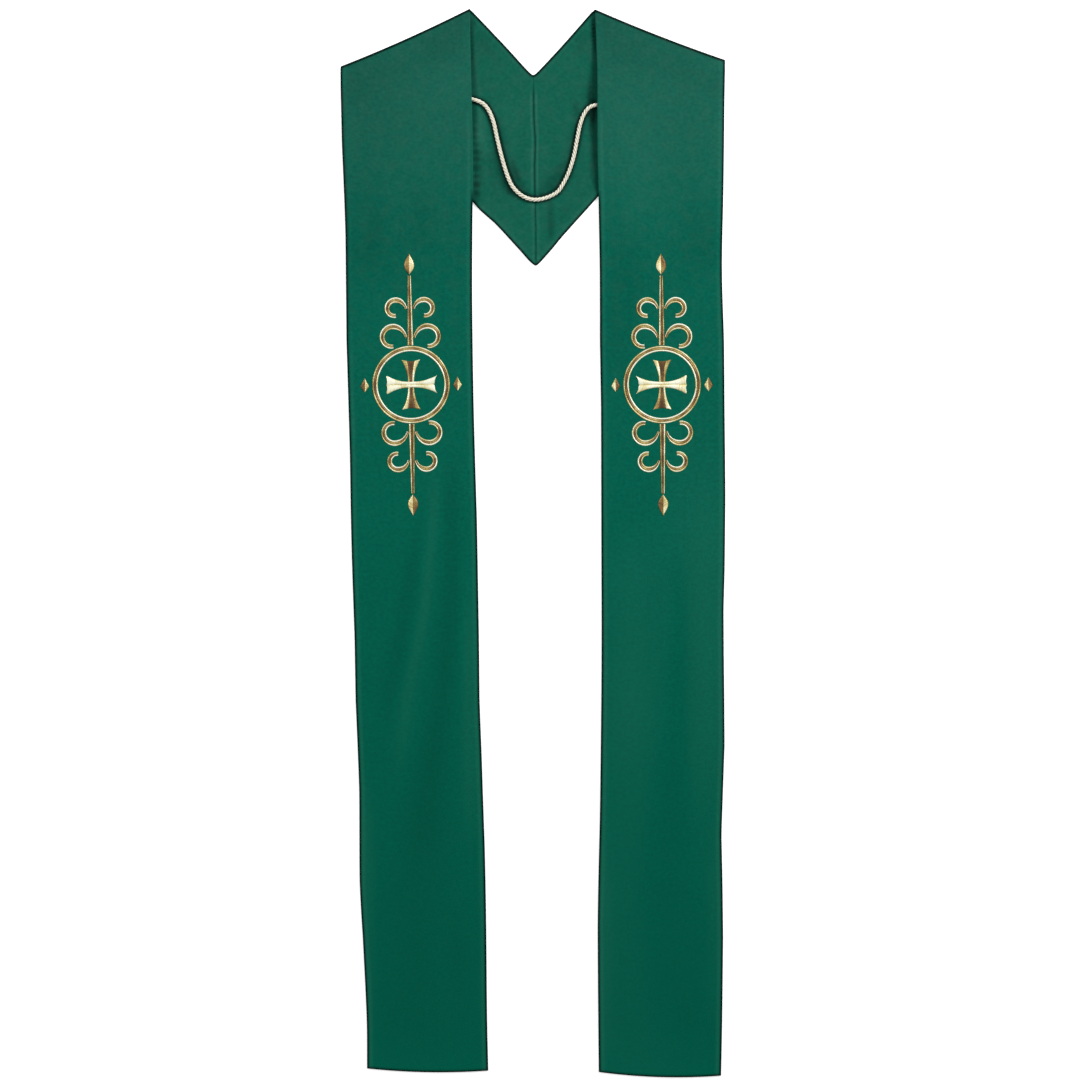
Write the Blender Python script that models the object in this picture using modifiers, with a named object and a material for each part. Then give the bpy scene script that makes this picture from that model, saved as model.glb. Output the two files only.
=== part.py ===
"""A clerical stole laid flat.

Two long strips of cloth are sewn together at the centre back. Each runs from that seam, as one half
of the V-shaped yoke, over the shoulder fold and down the front to its hem. A cord joins the two
fronts across the yoke, and each front carries a raised ornament of gold thread.

The stole lies on the plane z = 0 with its shoulders towards +Y. Sizes are in millimetres until a
point is placed. On each side of the seam a place is given by how far out from the seam it lies and
by its drop below the shoulder's peak.
"""

import math
from collections import namedtuple

import bmesh
import bpy
from mathutils import Vector

MM = 0.001

Place = namedtuple("Place", "out drop")
Section = namedtuple("Section", "drop inner outer")
Side = namedtuple("Side", "name sign peak corner sections hem")
Hem = namedtuple("Hem", "inner outer bow")

# Cloth
CLOTH = 2.0
SEWN_GAP = 0.3
FOLD_RADIUS = 3.0

# Yoke: where the strips' edges meet at the centre back
NECK_POINT_DROP = 75.8
BACK_POINT_DROP = 286.4
POINT_ROUNDING = 2.4
YOKE_SHIFT = 7.0

# The fronts' lift over the yoke and the cord
FRONT_LIFT = 7.2
LIFT_STARTS = -45.0
LIFT_ENDS = 65.0
FOLD_EASE = 45.0

# Net of each strip
ACROSS = 10
FRONT_ROWS = 34
FRONT_ROW_POWER = 1.6
TURN_ROWS = 8
YOKE_ROWS = 12
BOW_POWER = 8

# Each section of a front: its drop, and how far out its two edges lie
LEFT_SECTIONS = (
    Section(drop=0.0, inner=72.2, outer=215.0),
    Section(drop=50.0, inner=71.3, outer=215.4),
    Section(drop=90.0, inner=70.3, outer=215.2),
    Section(drop=140.0, inner=69.0, outer=213.9),
    Section(drop=190.0, inner=68.6, outer=212.1),
    Section(drop=235.0, inner=69.4, outer=210.7),
    Section(drop=325.0, inner=69.7, outer=208.8),
    Section(drop=455.0, inner=67.8, outer=206.3),
    Section(drop=590.0, inner=64.7, outer=203.9),
    Section(drop=720.0, inner=61.9, outer=199.5),
    Section(drop=855.0, inner=58.7, outer=195.4),
    Section(drop=990.0, inner=55.3, outer=193.2),
    Section(drop=1120.0, inner=53.4, outer=187.0),
    Section(drop=1180.0, inner=51.8, outer=186.4),
)
RIGHT_SECTIONS = (
    Section(drop=0.0, inner=66.6, outer=211.0),
    Section(drop=40.0, inner=68.1, outer=210.9),
    Section(drop=80.0, inner=69.2, outer=210.7),
    Section(drop=155.0, inner=69.3, outer=210.0),
    Section(drop=200.0, inner=70.4, outer=209.4),
    Section(drop=290.0, inner=72.1, outer=207.8),
    Section(drop=380.0, inner=73.0, outer=210.2),
    Section(drop=590.0, inner=73.6, outer=210.7),
    Section(drop=720.0, inner=73.8, outer=209.7),
    Section(drop=855.0, inner=72.5, outer=208.2),
    Section(drop=990.0, inner=70.6, outer=208.4),
    Section(drop=1120.0, inner=70.6, outer=207.6),
    Section(drop=1185.0, inner=70.8, outer=206.6),
)
LEFT = Side(
    name="left",
    sign=-1,
    peak=Place(out=72.2, drop=0.0),
    corner=Place(out=215.2, drop=64.2),
    sections=LEFT_SECTIONS,
    hem=Hem(inner=1177.0, outer=1176.0, bow=3.0),
)
RIGHT = Side(
    name="right",
    sign=1,
    peak=Place(out=65.6, drop=0.5),
    corner=Place(out=210.9, drop=56.9),
    sections=RIGHT_SECTIONS,
    hem=Hem(inner=1180.0, outer=1184.0, bow=3.6),
)
FULL_LENGTH = 1186.0
SEAM_X = (215.4 - 211.0) / 2

# Neck cord: its route in plan, as x from the seam and drop
CORD_DIAMETER = 4.5
CORD_BEVEL_STEPS = 2
ROUTE_STEPS = 16
CORD_POINTS = 76
CORD_ROUTE = (
    (-84.0, 99.0),
    (-76.0, 99.8),
    (-67.6, 101.2),
    (-59.6, 104.2),
    (-54.0, 109.0),
    (-49.4, 116.8),
    (-45.6, 127.5),
    (-42.0, 144.0),
    (-37.5, 162.5),
    (-31.6, 182.5),
    (-25.6, 196.2),
    (-17.5, 205.3),
    (-7.7, 210.7),
    (2.5, 212.0),
    (14.0, 209.4),
    (24.4, 203.8),
    (30.8, 195.0),
    (37.6, 181.0),
    (43.2, 163.0),
    (46.6, 145.5),
    (49.8, 129.5),
    (53.6, 118.8),
    (58.6, 111.2),
    (65.6, 107.4),
    (74.5, 106.2),
    (83.0, 105.0),
)

# Ornament of one front, about its middle
ORNAMENT_DROP = 417.0
THREAD_HEIGHT = 0.8
THREAD_GAP = 0.6
RING_OUTER = 43.0
RING_INNER = 37.0
RING_POINTS = 36
CROSS_REACH = 28.0
CROSS_WAIST = 3.4
CROSS_FLARE = 10.5
CROSS_END_DIP = 2.0
CROSS_SIDE_POINTS = 4
CROSS_END_POINTS = 3
STEM_TOP = 121.0
STEM_ROOT_WIDTH = 6.4
STEM_TIP_WIDTH = 3.4
BUD_LENGTH = 24.0
BUD_WIDTH = 11.5
BUD_POINTS = 9
BUD_POWER = 1.2
LOZENGE_OUT = 51.5
LOZENGE_HEIGHT = 16.0
LOZENGE_WIDTH = 10.0
SCROLL_POINTS = 13
SCROLL_TURN = math.radians(265)
SCROLL_TURN_POWER = 1.25
SCROLL_HEADING = math.radians(72)
SCROLL_ROOT_WIDTH = 2.4
SCROLL_FULL_WIDTH = 6.2
SCROLL_TIP_WIDTH = 4.6
SCROLL_FULL_AT = 0.35
Scroll = namedtuple("Scroll", "name height length")
SCROLLS = (
    Scroll(name="low", height=52.0, length=58.0),
    Scroll(name="high", height=84.0, length=46.0),
)

GREEN = (0.008, 0.100, 0.068)
GOLD = (0.560, 0.380, 0.130)
CORD_CREAM = (0.660, 0.610, 0.460)


def between(start, end, share):
    return start + (end - start) * share


def eased(share):
    """0 to 1, level at both ends."""
    held = min(max(share, 0.0), 1.0)
    return held * held * (3.0 - 2.0 * held)


def world(x, drop, z):
    """A point from its distance right of the seam, its drop and its height, in metres."""
    return Vector((x + SEAM_X, FULL_LENGTH / 2 - drop, z)) * MM


def clear_scene():
    for obj in list(bpy.data.objects):
        bpy.data.objects.remove(obj, do_unlink=True)


def material(name, colour, roughness, metallic=0.0):
    made = bpy.data.materials.new(name)
    made.use_nodes = True
    surface = made.node_tree.nodes["Principled BSDF"]
    surface.inputs["Base Color"].default_value = (*colour, 1.0)
    surface.inputs["Roughness"].default_value = roughness
    surface.inputs["Metallic"].default_value = metallic
    made.diffuse_color = (*colour, 1.0)
    return made


def add_object(name, data, collection, finish):
    obj = bpy.data.objects.new(name, data)
    collection.objects.link(obj)
    data.materials.append(finish)
    return obj


def edge_at(sections, edge, drop):
    """How far out the named edge of a front lies at this drop, on a smooth line through its sections."""
    last = len(sections) - 2
    low = max(n for n in range(last + 1) if n == 0 or sections[n].drop <= drop)
    near = [sections[min(max(n, 0), last + 1)] for n in range(low - 1, low + 3)]
    start, end = near[1], near[2]
    run = end.drop - start.drop
    share = (drop - start.drop) / run
    at_start, at_end = getattr(start, edge), getattr(end, edge)
    slope_in = (at_end - getattr(near[0], edge)) / (end.drop - near[0].drop) * run
    slope_out = (getattr(near[3], edge) - at_start) / (near[3].drop - start.drop) * run
    square, cube = share**2, share**3
    return (
        at_start * (2 * cube - 3 * square + 1)
        + slope_in * (cube - 2 * square + share)
        + at_end * (3 * square - 2 * cube)
        + slope_out * (cube - square)
    )


class Strip:
    """The middle surface of one strip, from the hem over the shoulder to the centre-back seam.

    Plan vectors here hold the distance out from the seam and the height above the peak's level.
    """

    def __init__(self, side):
        self.side = side
        self.peak = Vector((side.peak.out, -side.peak.drop))
        corner = Vector((side.corner.out, -side.corner.drop))
        self.along = (corner - self.peak).normalized()
        self.facing = Vector((-self.along.y, self.along.x))
        self.inset = FOLD_RADIUS + CLOTH / 2
        turn_start = self.peak - self.facing * self.inset
        slope = self.along.y / self.along.x
        self.top_drops = [
            -(turn_start.y + (getattr(side.sections[0], edge) - turn_start.x) * slope)
            for edge in ("inner", "outer")
        ]
        neck = Vector((0.0, -NECK_POINT_DROP)) - self.peak
        self.neck_slope = -neck.y / self.peak.x
        neck.normalize()
        self.yoke_inner = self.peak + neck * (self.inset / -neck.dot(self.facing))
        self.yoke_outer = self.front_plan(0.0, 1.0) - self.along * YOKE_SHIFT
        self.under_slope = (BACK_POINT_DROP + self.yoke_outer.y) / self.yoke_outer.x
        under = (Vector((0.0, -BACK_POINT_DROP)) - self.yoke_outer).normalized()
        self.under_facing = Vector((under.y, -under.x))

    def front_plan(self, down, across):
        """down: 0 at the shoulder, 1 at the hem. across: 0 at the inner edge, 1 at the outer."""
        hem = self.side.hem
        inner = between(self.top_drops[0], hem.inner, down)
        outer = between(self.top_drops[1], hem.outer, down)
        bow = hem.bow * 4 * across * (1 - across) * down**BOW_POWER
        drop = between(inner, outer, across) + bow
        sections = self.side.sections
        out = between(edge_at(sections, "inner", drop), edge_at(sections, "outer", drop), across)
        return Vector((out, -drop))

    def yoke_plan(self, back, across):
        """back: 0 at the shoulder, 1 at the seam. across: 0 at the neck edge, 1 at the lower edge."""
        inner = between(self.yoke_inner.x, SEWN_GAP / 2, back)
        outer = between(self.yoke_outer.x, SEWN_GAP / 2, back)
        neck_drop = NECK_POINT_DROP - self.neck_slope * math.hypot(inner, POINT_ROUNDING)
        back_drop = BACK_POINT_DROP - self.under_slope * math.hypot(outer, POINT_ROUNDING)
        return Vector((between(inner, outer, across), -between(neck_drop, back_drop, across)))

    def front_lift(self, plan):
        """How high the front stands off the plane that the stole lies on."""
        over_yoke = (plan - self.yoke_outer).dot(self.under_facing)
        ramp = eased((over_yoke - LIFT_STARTS) / (LIFT_ENDS - LIFT_STARTS))
        from_fold = (self.yoke_inner - plan).dot(self.facing)
        return between(2 * FOLD_RADIUS, FRONT_LIFT * ramp, eased(from_fold / FOLD_EASE))

    def row(self, place):
        """A function of the share across that gives a row's points, by the row's place."""
        part, share = place

        def front(across):
            plan = self.front_plan(share, across)
            return self.solid_point(plan, CLOTH / 2 + self.front_lift(plan))

        def turn(across):
            angle = math.pi * share
            plan = self.front_plan(0.0, across).lerp(self.yoke_plan(0.0, across), share)
            plan += self.facing * FOLD_RADIUS * math.sin(angle)
            return self.solid_point(plan, CLOTH / 2 + FOLD_RADIUS * (1 + math.cos(angle)))

        def yoke(across):
            return self.solid_point(self.yoke_plan(share, across), CLOTH / 2)

        return {"front": front, "turn": turn, "yoke": yoke}[part]

    def solid_point(self, plan, height):
        return world(self.side.sign * plan.x, -plan.y, height)

    def places(self):
        """The rows' places, from the hem to the seam."""
        front = [
            ("front", (n / FRONT_ROWS) ** FRONT_ROW_POWER) for n in range(FRONT_ROWS, -1, -1)
        ]
        turn = [("turn", n / TURN_ROWS) for n in range(1, TURN_ROWS)]
        yoke = [("yoke", n / YOKE_ROWS) for n in range(YOKE_ROWS + 1)]
        return front + turn + yoke


def add_strip(side, collection, finish):
    """One strip of cloth: a net of points on its middle surface, thickened both ways."""
    strip = Strip(side)
    rows = [strip.row(place) for place in strip.places()]
    net = bmesh.new()
    bmesh.ops.create_grid(net, x_segments=ACROSS, y_segments=len(rows) - 1, size=1.0)
    for corner in net.verts:
        across = (corner.co.x + 1) / 2
        row = round((corner.co.y + 1) / 2 * (len(rows) - 1))
        corner.co = rows[row](across)
    mesh = bpy.data.meshes.new(f"{side.name}_arm")
    net.to_mesh(mesh)
    net.free()
    mesh.shade_smooth()
    obj = add_object(f"{side.name}_arm", mesh, collection, finish)
    wall = obj.modifiers.new("cloth", "SOLIDIFY")
    wall.thickness = CLOTH * MM
    wall.offset = 0.0
    wall.use_even_offset = True
    return obj


def smooth_route(points, count):
    """Points evenly spread along a smooth curve through the route's own points."""
    fine = []
    for n in range(len(points) - 1):
        before, start = points[max(n - 1, 0)], points[n]
        end, after = points[n + 1], points[min(n + 2, len(points) - 1)]
        for step in range(ROUTE_STEPS):
            t = step / ROUTE_STEPS
            fine.append(
                0.5
                * (
                    2 * start
                    + (end - before) * t
                    + (2 * before - 5 * start + 4 * end - after) * t**2
                    + (3 * start - before - 3 * end + after) * t**3
                )
            )
    fine.append(points[-1])
    reach = [0.0]
    for first, second in zip(fine, fine[1:]):
        reach.append(reach[-1] + (second - first).length)
    spread, n = [], 0
    for k in range(count):
        wanted = reach[-1] * k / (count - 1)
        while n < len(fine) - 2 and reach[n + 1] < wanted:
            n += 1
        share = (wanted - reach[n]) / (reach[n + 1] - reach[n])
        spread.append(fine[n].lerp(fine[n + 1], min(share, 1.0)))
    return spread


def add_cord(collection, finish):
    """The cord that joins the fronts. It lies on the yoke, with its ends tucked under the fronts."""
    height = CLOTH + SEWN_GAP + CORD_DIAMETER / 2
    route = [world(x, drop, height) for x, drop in CORD_ROUTE]
    curve = bpy.data.curves.new("neck_cord", "CURVE")
    curve.dimensions = "3D"
    curve.bevel_depth = CORD_DIAMETER / 2 * MM
    curve.bevel_resolution = CORD_BEVEL_STEPS
    curve.use_fill_caps = True
    line = curve.splines.new("POLY")
    line.points.add(CORD_POINTS - 1)
    for point, place in zip(line.points, smooth_route(route, CORD_POINTS)):
        point.co = (*place, 1.0)
    return add_object("neck_cord", curve, collection, finish)


def ring_outlines():
    def circle(radius, way):
        steps = [way * 2 * math.pi * n / RING_POINTS for n in range(RING_POINTS)]
        return [(radius * math.cos(a), radius * math.sin(a)) for a in steps]

    return [circle(RING_OUTER, 1), circle(RING_INNER, -1)]


def cross_outline():
    """Four equal arms that flare towards slightly hollow ends."""
    arm = []
    for n in range(CROSS_SIDE_POINTS + 1):
        share = n / CROSS_SIDE_POINTS
        wide = between(CROSS_WAIST, CROSS_FLARE, share**2)
        arm.append((between(CROSS_WAIST, CROSS_REACH, share), -wide))
    for n in range(1, CROSS_END_POINTS + 1):
        share = n / (CROSS_END_POINTS + 1)
        dip = CROSS_END_DIP * math.sin(math.pi * share)
        arm.append((CROSS_REACH - dip, between(-CROSS_FLARE, CROSS_FLARE, share)))
    arm += [(x, -y) for x, y in reversed(arm[1 : CROSS_SIDE_POINTS + 1])]
    outline = []
    for quarter in range(4):
        turn_x, turn_y = ((1, 0), (0, 1), (-1, 0), (0, -1))[quarter]
        outline += [(x * turn_x - y * turn_y, x * turn_y + y * turn_x) for x, y in arm]
    return outline


def almond_outline(length, width, points):
    """A pointed oval, its lower point at y = 0."""
    edge = []
    for n in range(points + 1):
        share = n / points
        edge.append((width / 2 * math.sin(math.pi * share) ** BUD_POWER, length * share))
    return edge + [(-x, y) for x, y in reversed(edge[1:-1])]


def stem_outline():
    root, tip = STEM_ROOT_WIDTH / 2, STEM_TIP_WIDTH / 2
    foot = RING_OUTER + THREAD_GAP
    return [(-root, foot), (root, foot), (tip, STEM_TOP), (-tip, STEM_TOP)]


def lozenge_outline():
    tall, wide = LOZENGE_HEIGHT / 2, LOZENGE_WIDTH / 2
    return [(-wide, 0.0), (0.0, -tall), (wide, 0.0), (0.0, tall)]


def scroll_outline(scroll):
    """A tapering stroke that leaves the stem upwards and curls over, away from it."""
    step = scroll.length / (SCROLL_POINTS - 1)
    share_up = scroll.height / STEM_TOP
    stem_half = between(STEM_ROOT_WIDTH, STEM_TIP_WIDTH, share_up) / 2
    place = Vector((stem_half + THREAD_GAP + SCROLL_ROOT_WIDTH / 2, scroll.height))
    outer, inner = [], []
    for n in range(SCROLL_POINTS):
        share = n / (SCROLL_POINTS - 1)
        heading = SCROLL_HEADING - SCROLL_TURN * share**SCROLL_TURN_POWER
        forward = Vector((math.cos(heading), math.sin(heading)))
        left = Vector((-forward.y, forward.x))
        if share < SCROLL_FULL_AT:
            wide = between(SCROLL_ROOT_WIDTH, SCROLL_FULL_WIDTH, eased(share / SCROLL_FULL_AT))
        else:
            past = (share - SCROLL_FULL_AT) / (1 - SCROLL_FULL_AT)
            wide = between(SCROLL_FULL_WIDTH, SCROLL_TIP_WIDTH, past)
        outer.append(place + left * wide / 2)
        inner.append(place - left * wide / 2)
        place = place + forward * step
    tip = place - forward * step / 2
    return [tuple(p) for p in inner + [tip] + outer[::-1]]


def ornament_pieces():
    """Each raised piece's name and its outlines, about the ornament's middle."""
    pieces = {"ring": ring_outlines(), "cross": [cross_outline()]}
    lozenge = lozenge_outline()
    for name, way in (("inner", -1), ("outer", 1)):
        pieces[f"lozenge_{name}"] = [[(x + way * LOZENGE_OUT, y) for x, y in lozenge]]
    bud = almond_outline(BUD_LENGTH, BUD_WIDTH, BUD_POINTS)
    bud = [(x, y + STEM_TOP + THREAD_GAP) for x, y in bud]
    for half, up in (("upper", 1), ("lower", -1)):
        pieces[f"{half}_stem"] = [[(x, y * up) for x, y in stem_outline()]]
        pieces[f"{half}_bud"] = [[(x, y * up) for x, y in bud]]
        for scroll in SCROLLS:
            outline = scroll_outline(scroll)
            for name, way in (("inner", -1), ("outer", 1)):
                turned = [(x * way, y * up) for x, y in outline]
                pieces[f"{half}_{scroll.name}_scroll_{name}"] = [turned]
    return pieces


def add_ornament(side, collection, finish):
    """The raised gold-thread pieces of one front, on its face, in line with the strip."""
    places = []
    for drop in (ORNAMENT_DROP - STEM_TOP, ORNAMENT_DROP + STEM_TOP):
        edges = [edge_at(side.sections, edge, drop) for edge in ("inner", "outer")]
        places.append(Vector((side.sign * sum(edges) / 2, -drop)))
    centre = (places[0] + places[1]) / 2
    upright = places[0] - places[1]
    lean = math.atan2(-upright.x, upright.y)
    height = CLOTH + SEWN_GAP + THREAD_HEIGHT / 2
    for name, outlines in ornament_pieces().items():
        curve = bpy.data.curves.new(f"{side.name}_{name}", "CURVE")
        curve.dimensions = "2D"
        curve.fill_mode = "BOTH"
        curve.extrude = THREAD_HEIGHT / 2 * MM
        for outline in outlines:
            line = curve.splines.new("POLY")
            line.points.add(len(outline) - 1)
            line.use_cyclic_u = True
            for point, (x, y) in zip(line.points, outline):
                point.co = (side.sign * x * MM, y * MM, 0.0, 1.0)
        obj = add_object(f"{side.name}_{name}", curve, collection, finish)
        obj.location = world(centre.x, -centre.y, height)
        obj.rotation_euler = (0.0, 0.0, lean)


def main():
    clear_scene()
    collection = bpy.data.collections.new("clerical_stole")
    bpy.context.scene.collection.children.link(collection)
    green = material("green_cloth", GREEN, roughness=0.85)
    gold = material("gold_thread", GOLD, roughness=0.4, metallic=0.3)
    cord = material("neck_cord", CORD_CREAM, roughness=0.5, metallic=0.1)
    for side in (LEFT, RIGHT):
        add_strip(side, collection, green)
        add_ornament(side, collection, gold)
    add_cord(collection, cord)


main()
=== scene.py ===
"""A clerical stole of green cloth, laid flat on a pale floor and seen from straight above.

Each strip of cloth is a thin closed shell on its solid's form, with soft creases placed one by one. The
raised gold ornament is built stitch by stitch, and the neck cord is three plies twisted together.

Sizes are in millimetres until a point is placed. On each side of the centre-back seam a place is
given by how far out from the seam it lies and by its drop below the shoulder's peak.
"""

import math
import random
from collections import namedtuple

import bmesh
import bpy
import numpy as np
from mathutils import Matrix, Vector

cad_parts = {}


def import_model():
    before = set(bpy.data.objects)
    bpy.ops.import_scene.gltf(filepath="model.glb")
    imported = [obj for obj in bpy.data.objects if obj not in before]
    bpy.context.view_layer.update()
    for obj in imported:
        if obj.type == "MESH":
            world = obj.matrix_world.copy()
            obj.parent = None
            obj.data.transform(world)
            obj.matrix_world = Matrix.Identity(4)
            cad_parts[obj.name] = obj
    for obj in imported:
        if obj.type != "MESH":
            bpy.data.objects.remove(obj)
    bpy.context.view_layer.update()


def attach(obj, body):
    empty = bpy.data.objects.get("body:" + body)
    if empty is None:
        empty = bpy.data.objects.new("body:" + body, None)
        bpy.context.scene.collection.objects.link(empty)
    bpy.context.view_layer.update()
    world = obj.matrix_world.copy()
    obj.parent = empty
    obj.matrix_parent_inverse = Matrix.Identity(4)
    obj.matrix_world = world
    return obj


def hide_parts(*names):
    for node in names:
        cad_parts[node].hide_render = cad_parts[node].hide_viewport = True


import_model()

MM = 0.001
BODY = "root"

Place = namedtuple("Place", "out drop")
Section = namedtuple("Section", "drop inner outer")
Side = namedtuple("Side", "name sign peak corner sections hem")
Hem = namedtuple("Hem", "inner outer bow")
Bend = namedtuple("Bend", "x drop width height")
Pucker = namedtuple("Pucker", "drop length height")
Scroll = namedtuple("Scroll", "name height length")
Stroke = namedtuple("Stroke", "path halves closed dip", defaults=(False, 0.0))
Band = namedtuple("Band", "start end crest tone slant")
Lamp = namedtuple("Lamp", "name energy size place")
Net = namedtuple("Net", "x drop inner outer hem seam in_front in_yoke")

# Camera and light: the lens and the view are in millimetres, and the rest is in metres
LENS = 100.0
SENSOR = 36.0
VIEW_WIDTH = 1198.8
VIEW_CENTRE = (7.75, 3.6)
CLIP_END = 50.0
SKY_STRENGTH = 0.36
LIGHT_AIM = (0.0, 0.1, 0.0)
LAMPS = (
    Lamp(name="key", energy=68.0, size=0.9, place=(1.7, 1.6, 1.75)),
    Lamp(name="fill", energy=24.0, size=0.8, place=(-1.9, 0.7, 1.6)),
)
FLOOR_SIZE = 14.0
FLOOR_PARTS = 8
FLOOR_GAP = 0.0004

# The stole's measures, as in its solids
CLOTH = 2.0
FOLD_RADIUS = 3.0
NECK_POINT_DROP = 75.8
BACK_POINT_DROP = 286.4
POINT_ROUNDING = 2.4
YOKE_SHIFT = 7.0
FRONT_LIFT = 7.2
LIFT_STARTS = -45.0
LIFT_ENDS = 65.0
FOLD_EASE = 45.0
BOW_POWER = 8

# Each section of a front: its drop, and how far out its two edges lie
LEFT_SECTIONS = (
    Section(drop=0.0, inner=72.2, outer=215.0),
    Section(drop=50.0, inner=71.3, outer=215.4),
    Section(drop=90.0, inner=70.3, outer=215.2),
    Section(drop=140.0, inner=69.0, outer=213.9),
    Section(drop=190.0, inner=68.6, outer=212.1),
    Section(drop=235.0, inner=69.4, outer=210.7),
    Section(drop=325.0, inner=69.7, outer=208.8),
    Section(drop=455.0, inner=67.8, outer=206.3),
    Section(drop=590.0, inner=64.7, outer=203.9),
    Section(drop=720.0, inner=61.9, outer=199.5),
    Section(drop=855.0, inner=58.7, outer=195.4),
    Section(drop=990.0, inner=55.3, outer=193.2),
    Section(drop=1120.0, inner=53.4, outer=187.0),
    Section(drop=1180.0, inner=51.8, outer=186.4),
)
RIGHT_SECTIONS = (
    Section(drop=0.0, inner=66.6, outer=211.0),
    Section(drop=40.0, inner=68.1, outer=210.9),
    Section(drop=80.0, inner=69.2, outer=210.7),
    Section(drop=155.0, inner=69.3, outer=210.0),
    Section(drop=200.0, inner=70.4, outer=209.4),
    Section(drop=290.0, inner=72.1, outer=207.8),
    Section(drop=380.0, inner=73.0, outer=210.2),
    Section(drop=590.0, inner=73.6, outer=210.7),
    Section(drop=720.0, inner=73.8, outer=209.7),
    Section(drop=855.0, inner=72.5, outer=208.2),
    Section(drop=990.0, inner=70.6, outer=208.4),
    Section(drop=1120.0, inner=70.6, outer=207.6),
    Section(drop=1185.0, inner=70.8, outer=206.6),
)
LEFT = Side(
    name="left",
    sign=-1,
    peak=Place(out=72.2, drop=0.0),
    corner=Place(out=215.2, drop=64.2),
    sections=LEFT_SECTIONS,
    hem=Hem(inner=1178.4, outer=1176.0, bow=3.0),
)
RIGHT = Side(
    name="right",
    sign=1,
    peak=Place(out=65.6, drop=0.5),
    corner=Place(out=210.9, drop=56.9),
    sections=RIGHT_SECTIONS,
    hem=Hem(inner=1180.0, outer=1184.0, bow=3.6),
)
FULL_LENGTH = 1186.0
SEAM_X = 2.2

# Net of the cloth shell
EDGE_ROUND = 1.1
SEAM_ROUND = 0.8
EDGE_STEPS = (0.0, 0.06, 0.25, 0.6, 1.1, 1.8, 2.6, 3.4, 4.4, 5.8, 7.5)
BAND_WIDTH = 140.0
COARSE_COLUMN = 3.0
CLOSE_COLUMN = 1.1
CLOSE_FROM = 52.0
FINE_COLUMN = 0.68
FINE_FROM = 85.0
HEM_STEPS = (0.0, 0.06, 0.25, 0.6, 1.1, 2.2, 4.0, 7.0, 10.0, 14.0)
FRONT_LENGTH = 1150.0
FRONT_STEP = 8.0
SHOULDER_STEP = 3.0
SHOULDER_REACH = 70.0
TURN_ROWS = 16
YOKE_LENGTH = 206.0
YOKE_STEP = 2.0
SEAM_STEPS = (0.0, 0.07, 0.25, 0.6, 1.1, 1.8, 2.8)

# The centre-back seam wanders from side to side: each drop, and how far right it stands there
SEAM_DRIFT_REACH = 22.0
SEAM_LAP = 0.08
SEAM_DRIFTS = (
    (75.0, -1.7), (95.0, -1.6), (118.0, -1.3), (129.0, -0.9), (140.0, 0.0), (151.0, 0.3), (162.0, -0.1),
    (174.0, -0.5), (195.0, -0.3), (226.0, 0.2), (242.0, 0.8), (286.0, 1.0),
)

# The long edges wave a little, and the shoulder folds sag between their ends.
# Each wave: its drop, and how far out it takes the edge
EDGE_WAVES = {
    "left": {
        "inner": (
            (440.0, 0.0), (567.0, -0.8), (700.0, -0.2), (767.0, 0.7), (830.0, -0.2), (930.0, -1.0),
            (1050.0, -0.6), (1180.0, 0.0),
        ),
        "outer": (
            (60.0, 0.0), (150.0, 0.8), (250.0, 0.1), (368.0, 1.3), (500.0, -0.2), (700.0, 0.1),
            (767.0, 1.2), (867.0, 0.0), (967.0, 0.9), (1030.0, -0.3), (1180.0, 0.0),
        ),
    },
    "right": {
        "inner": (
            (290.0, -0.2), (368.0, -0.9), (440.0, 0.0), (900.0, 0.1), (1017.0, -0.9), (1090.0, -0.6),
            (1180.0, 0.0),
        ),
        "outer": (
            (440.0, -0.2), (540.0, 0.6), (620.0, 0.0), (667.0, -0.9), (717.0, -0.1), (767.0, 1.0),
            (817.0, 2.0), (867.0, 0.6), (917.0, -1.2), (967.0, -0.3), (1030.0, 0.6), (1180.0, 0.0),
        ),
    },
}
SHOULDER_SAG = 1.9
SAG_REACH = 40.0

# The yoke's lower edge waves too. Each wave: how far down it takes the edge, and how far out it is
YOKE_WAVE_POWER = 4
YOKE_WAVES = {
    "left": (
        (1.0, 0.0), (1.4, 8.0), (0.0, 17.0), (-0.7, 26.0), (-1.3, 35.0), (-1.3, 45.0), (0.4, 54.0),
        (1.7, 62.0), (0.0, 76.0),
    ),
    "right": (
        (1.0, 0.0), (0.9, 10.0), (1.0, 19.0), (0.1, 28.0), (0.1, 45.0), (0.3, 60.0), (0.0, 76.0),
    ),
}

# A crease higher than the first value lifts the cloth's underside too, by this share of the rest
UNDERSIDE_FROM = 0.25
UNDERSIDE_SHARE = 0.8

# Sewn edge: the turning inside makes a band along each edge a little thicker
TURNING_WIDTH = 10.0
TURNING_RAMP = 4.0
TURNING_HEIGHT = 0.12

# The painted shade line along the turned edges and the shoulder fold, and the painted highlight beside
# it
SHADE_START = 1.2
SHADE_END = 3.1
FOLD_SHADE = 1.2
NECK_SHADE = 0.35
RIM_PLACE = 4.7
RIM_WIDTH = 1.9
RIM_PAINTED_HIGHLIGHT = 0.85
NECK_PAINTED_HIGHLIGHT = 0.35
BACK_PAINTED_HIGHLIGHT = 0.7
INNER_LIFT_FROM = 104.0
INNER_LIFT_RAMP = 30.0
OVER_YOKE_ENDS = 200.0
OVER_YOKE_RAMP = 14.0

# The centre-back seam's painted shade line, and the painted highlight on each side of it
SEAM_SHADE = 0.52
SEAM_SHADE_LESS = 0.4
SEAM_LESS_FROM = 204.0
SEAM_SHADE_WIDTH = 2.1
SEAM_SHADE_FROM = 84.0
SEAM_SHADE_RAMP = 14.0
SEAM_PAINTED_HIGHLIGHT = 1.6
SEAM_LIFT_PLACE = 3.0
SEAM_LIFT_WIDTH = 1.2

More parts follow.
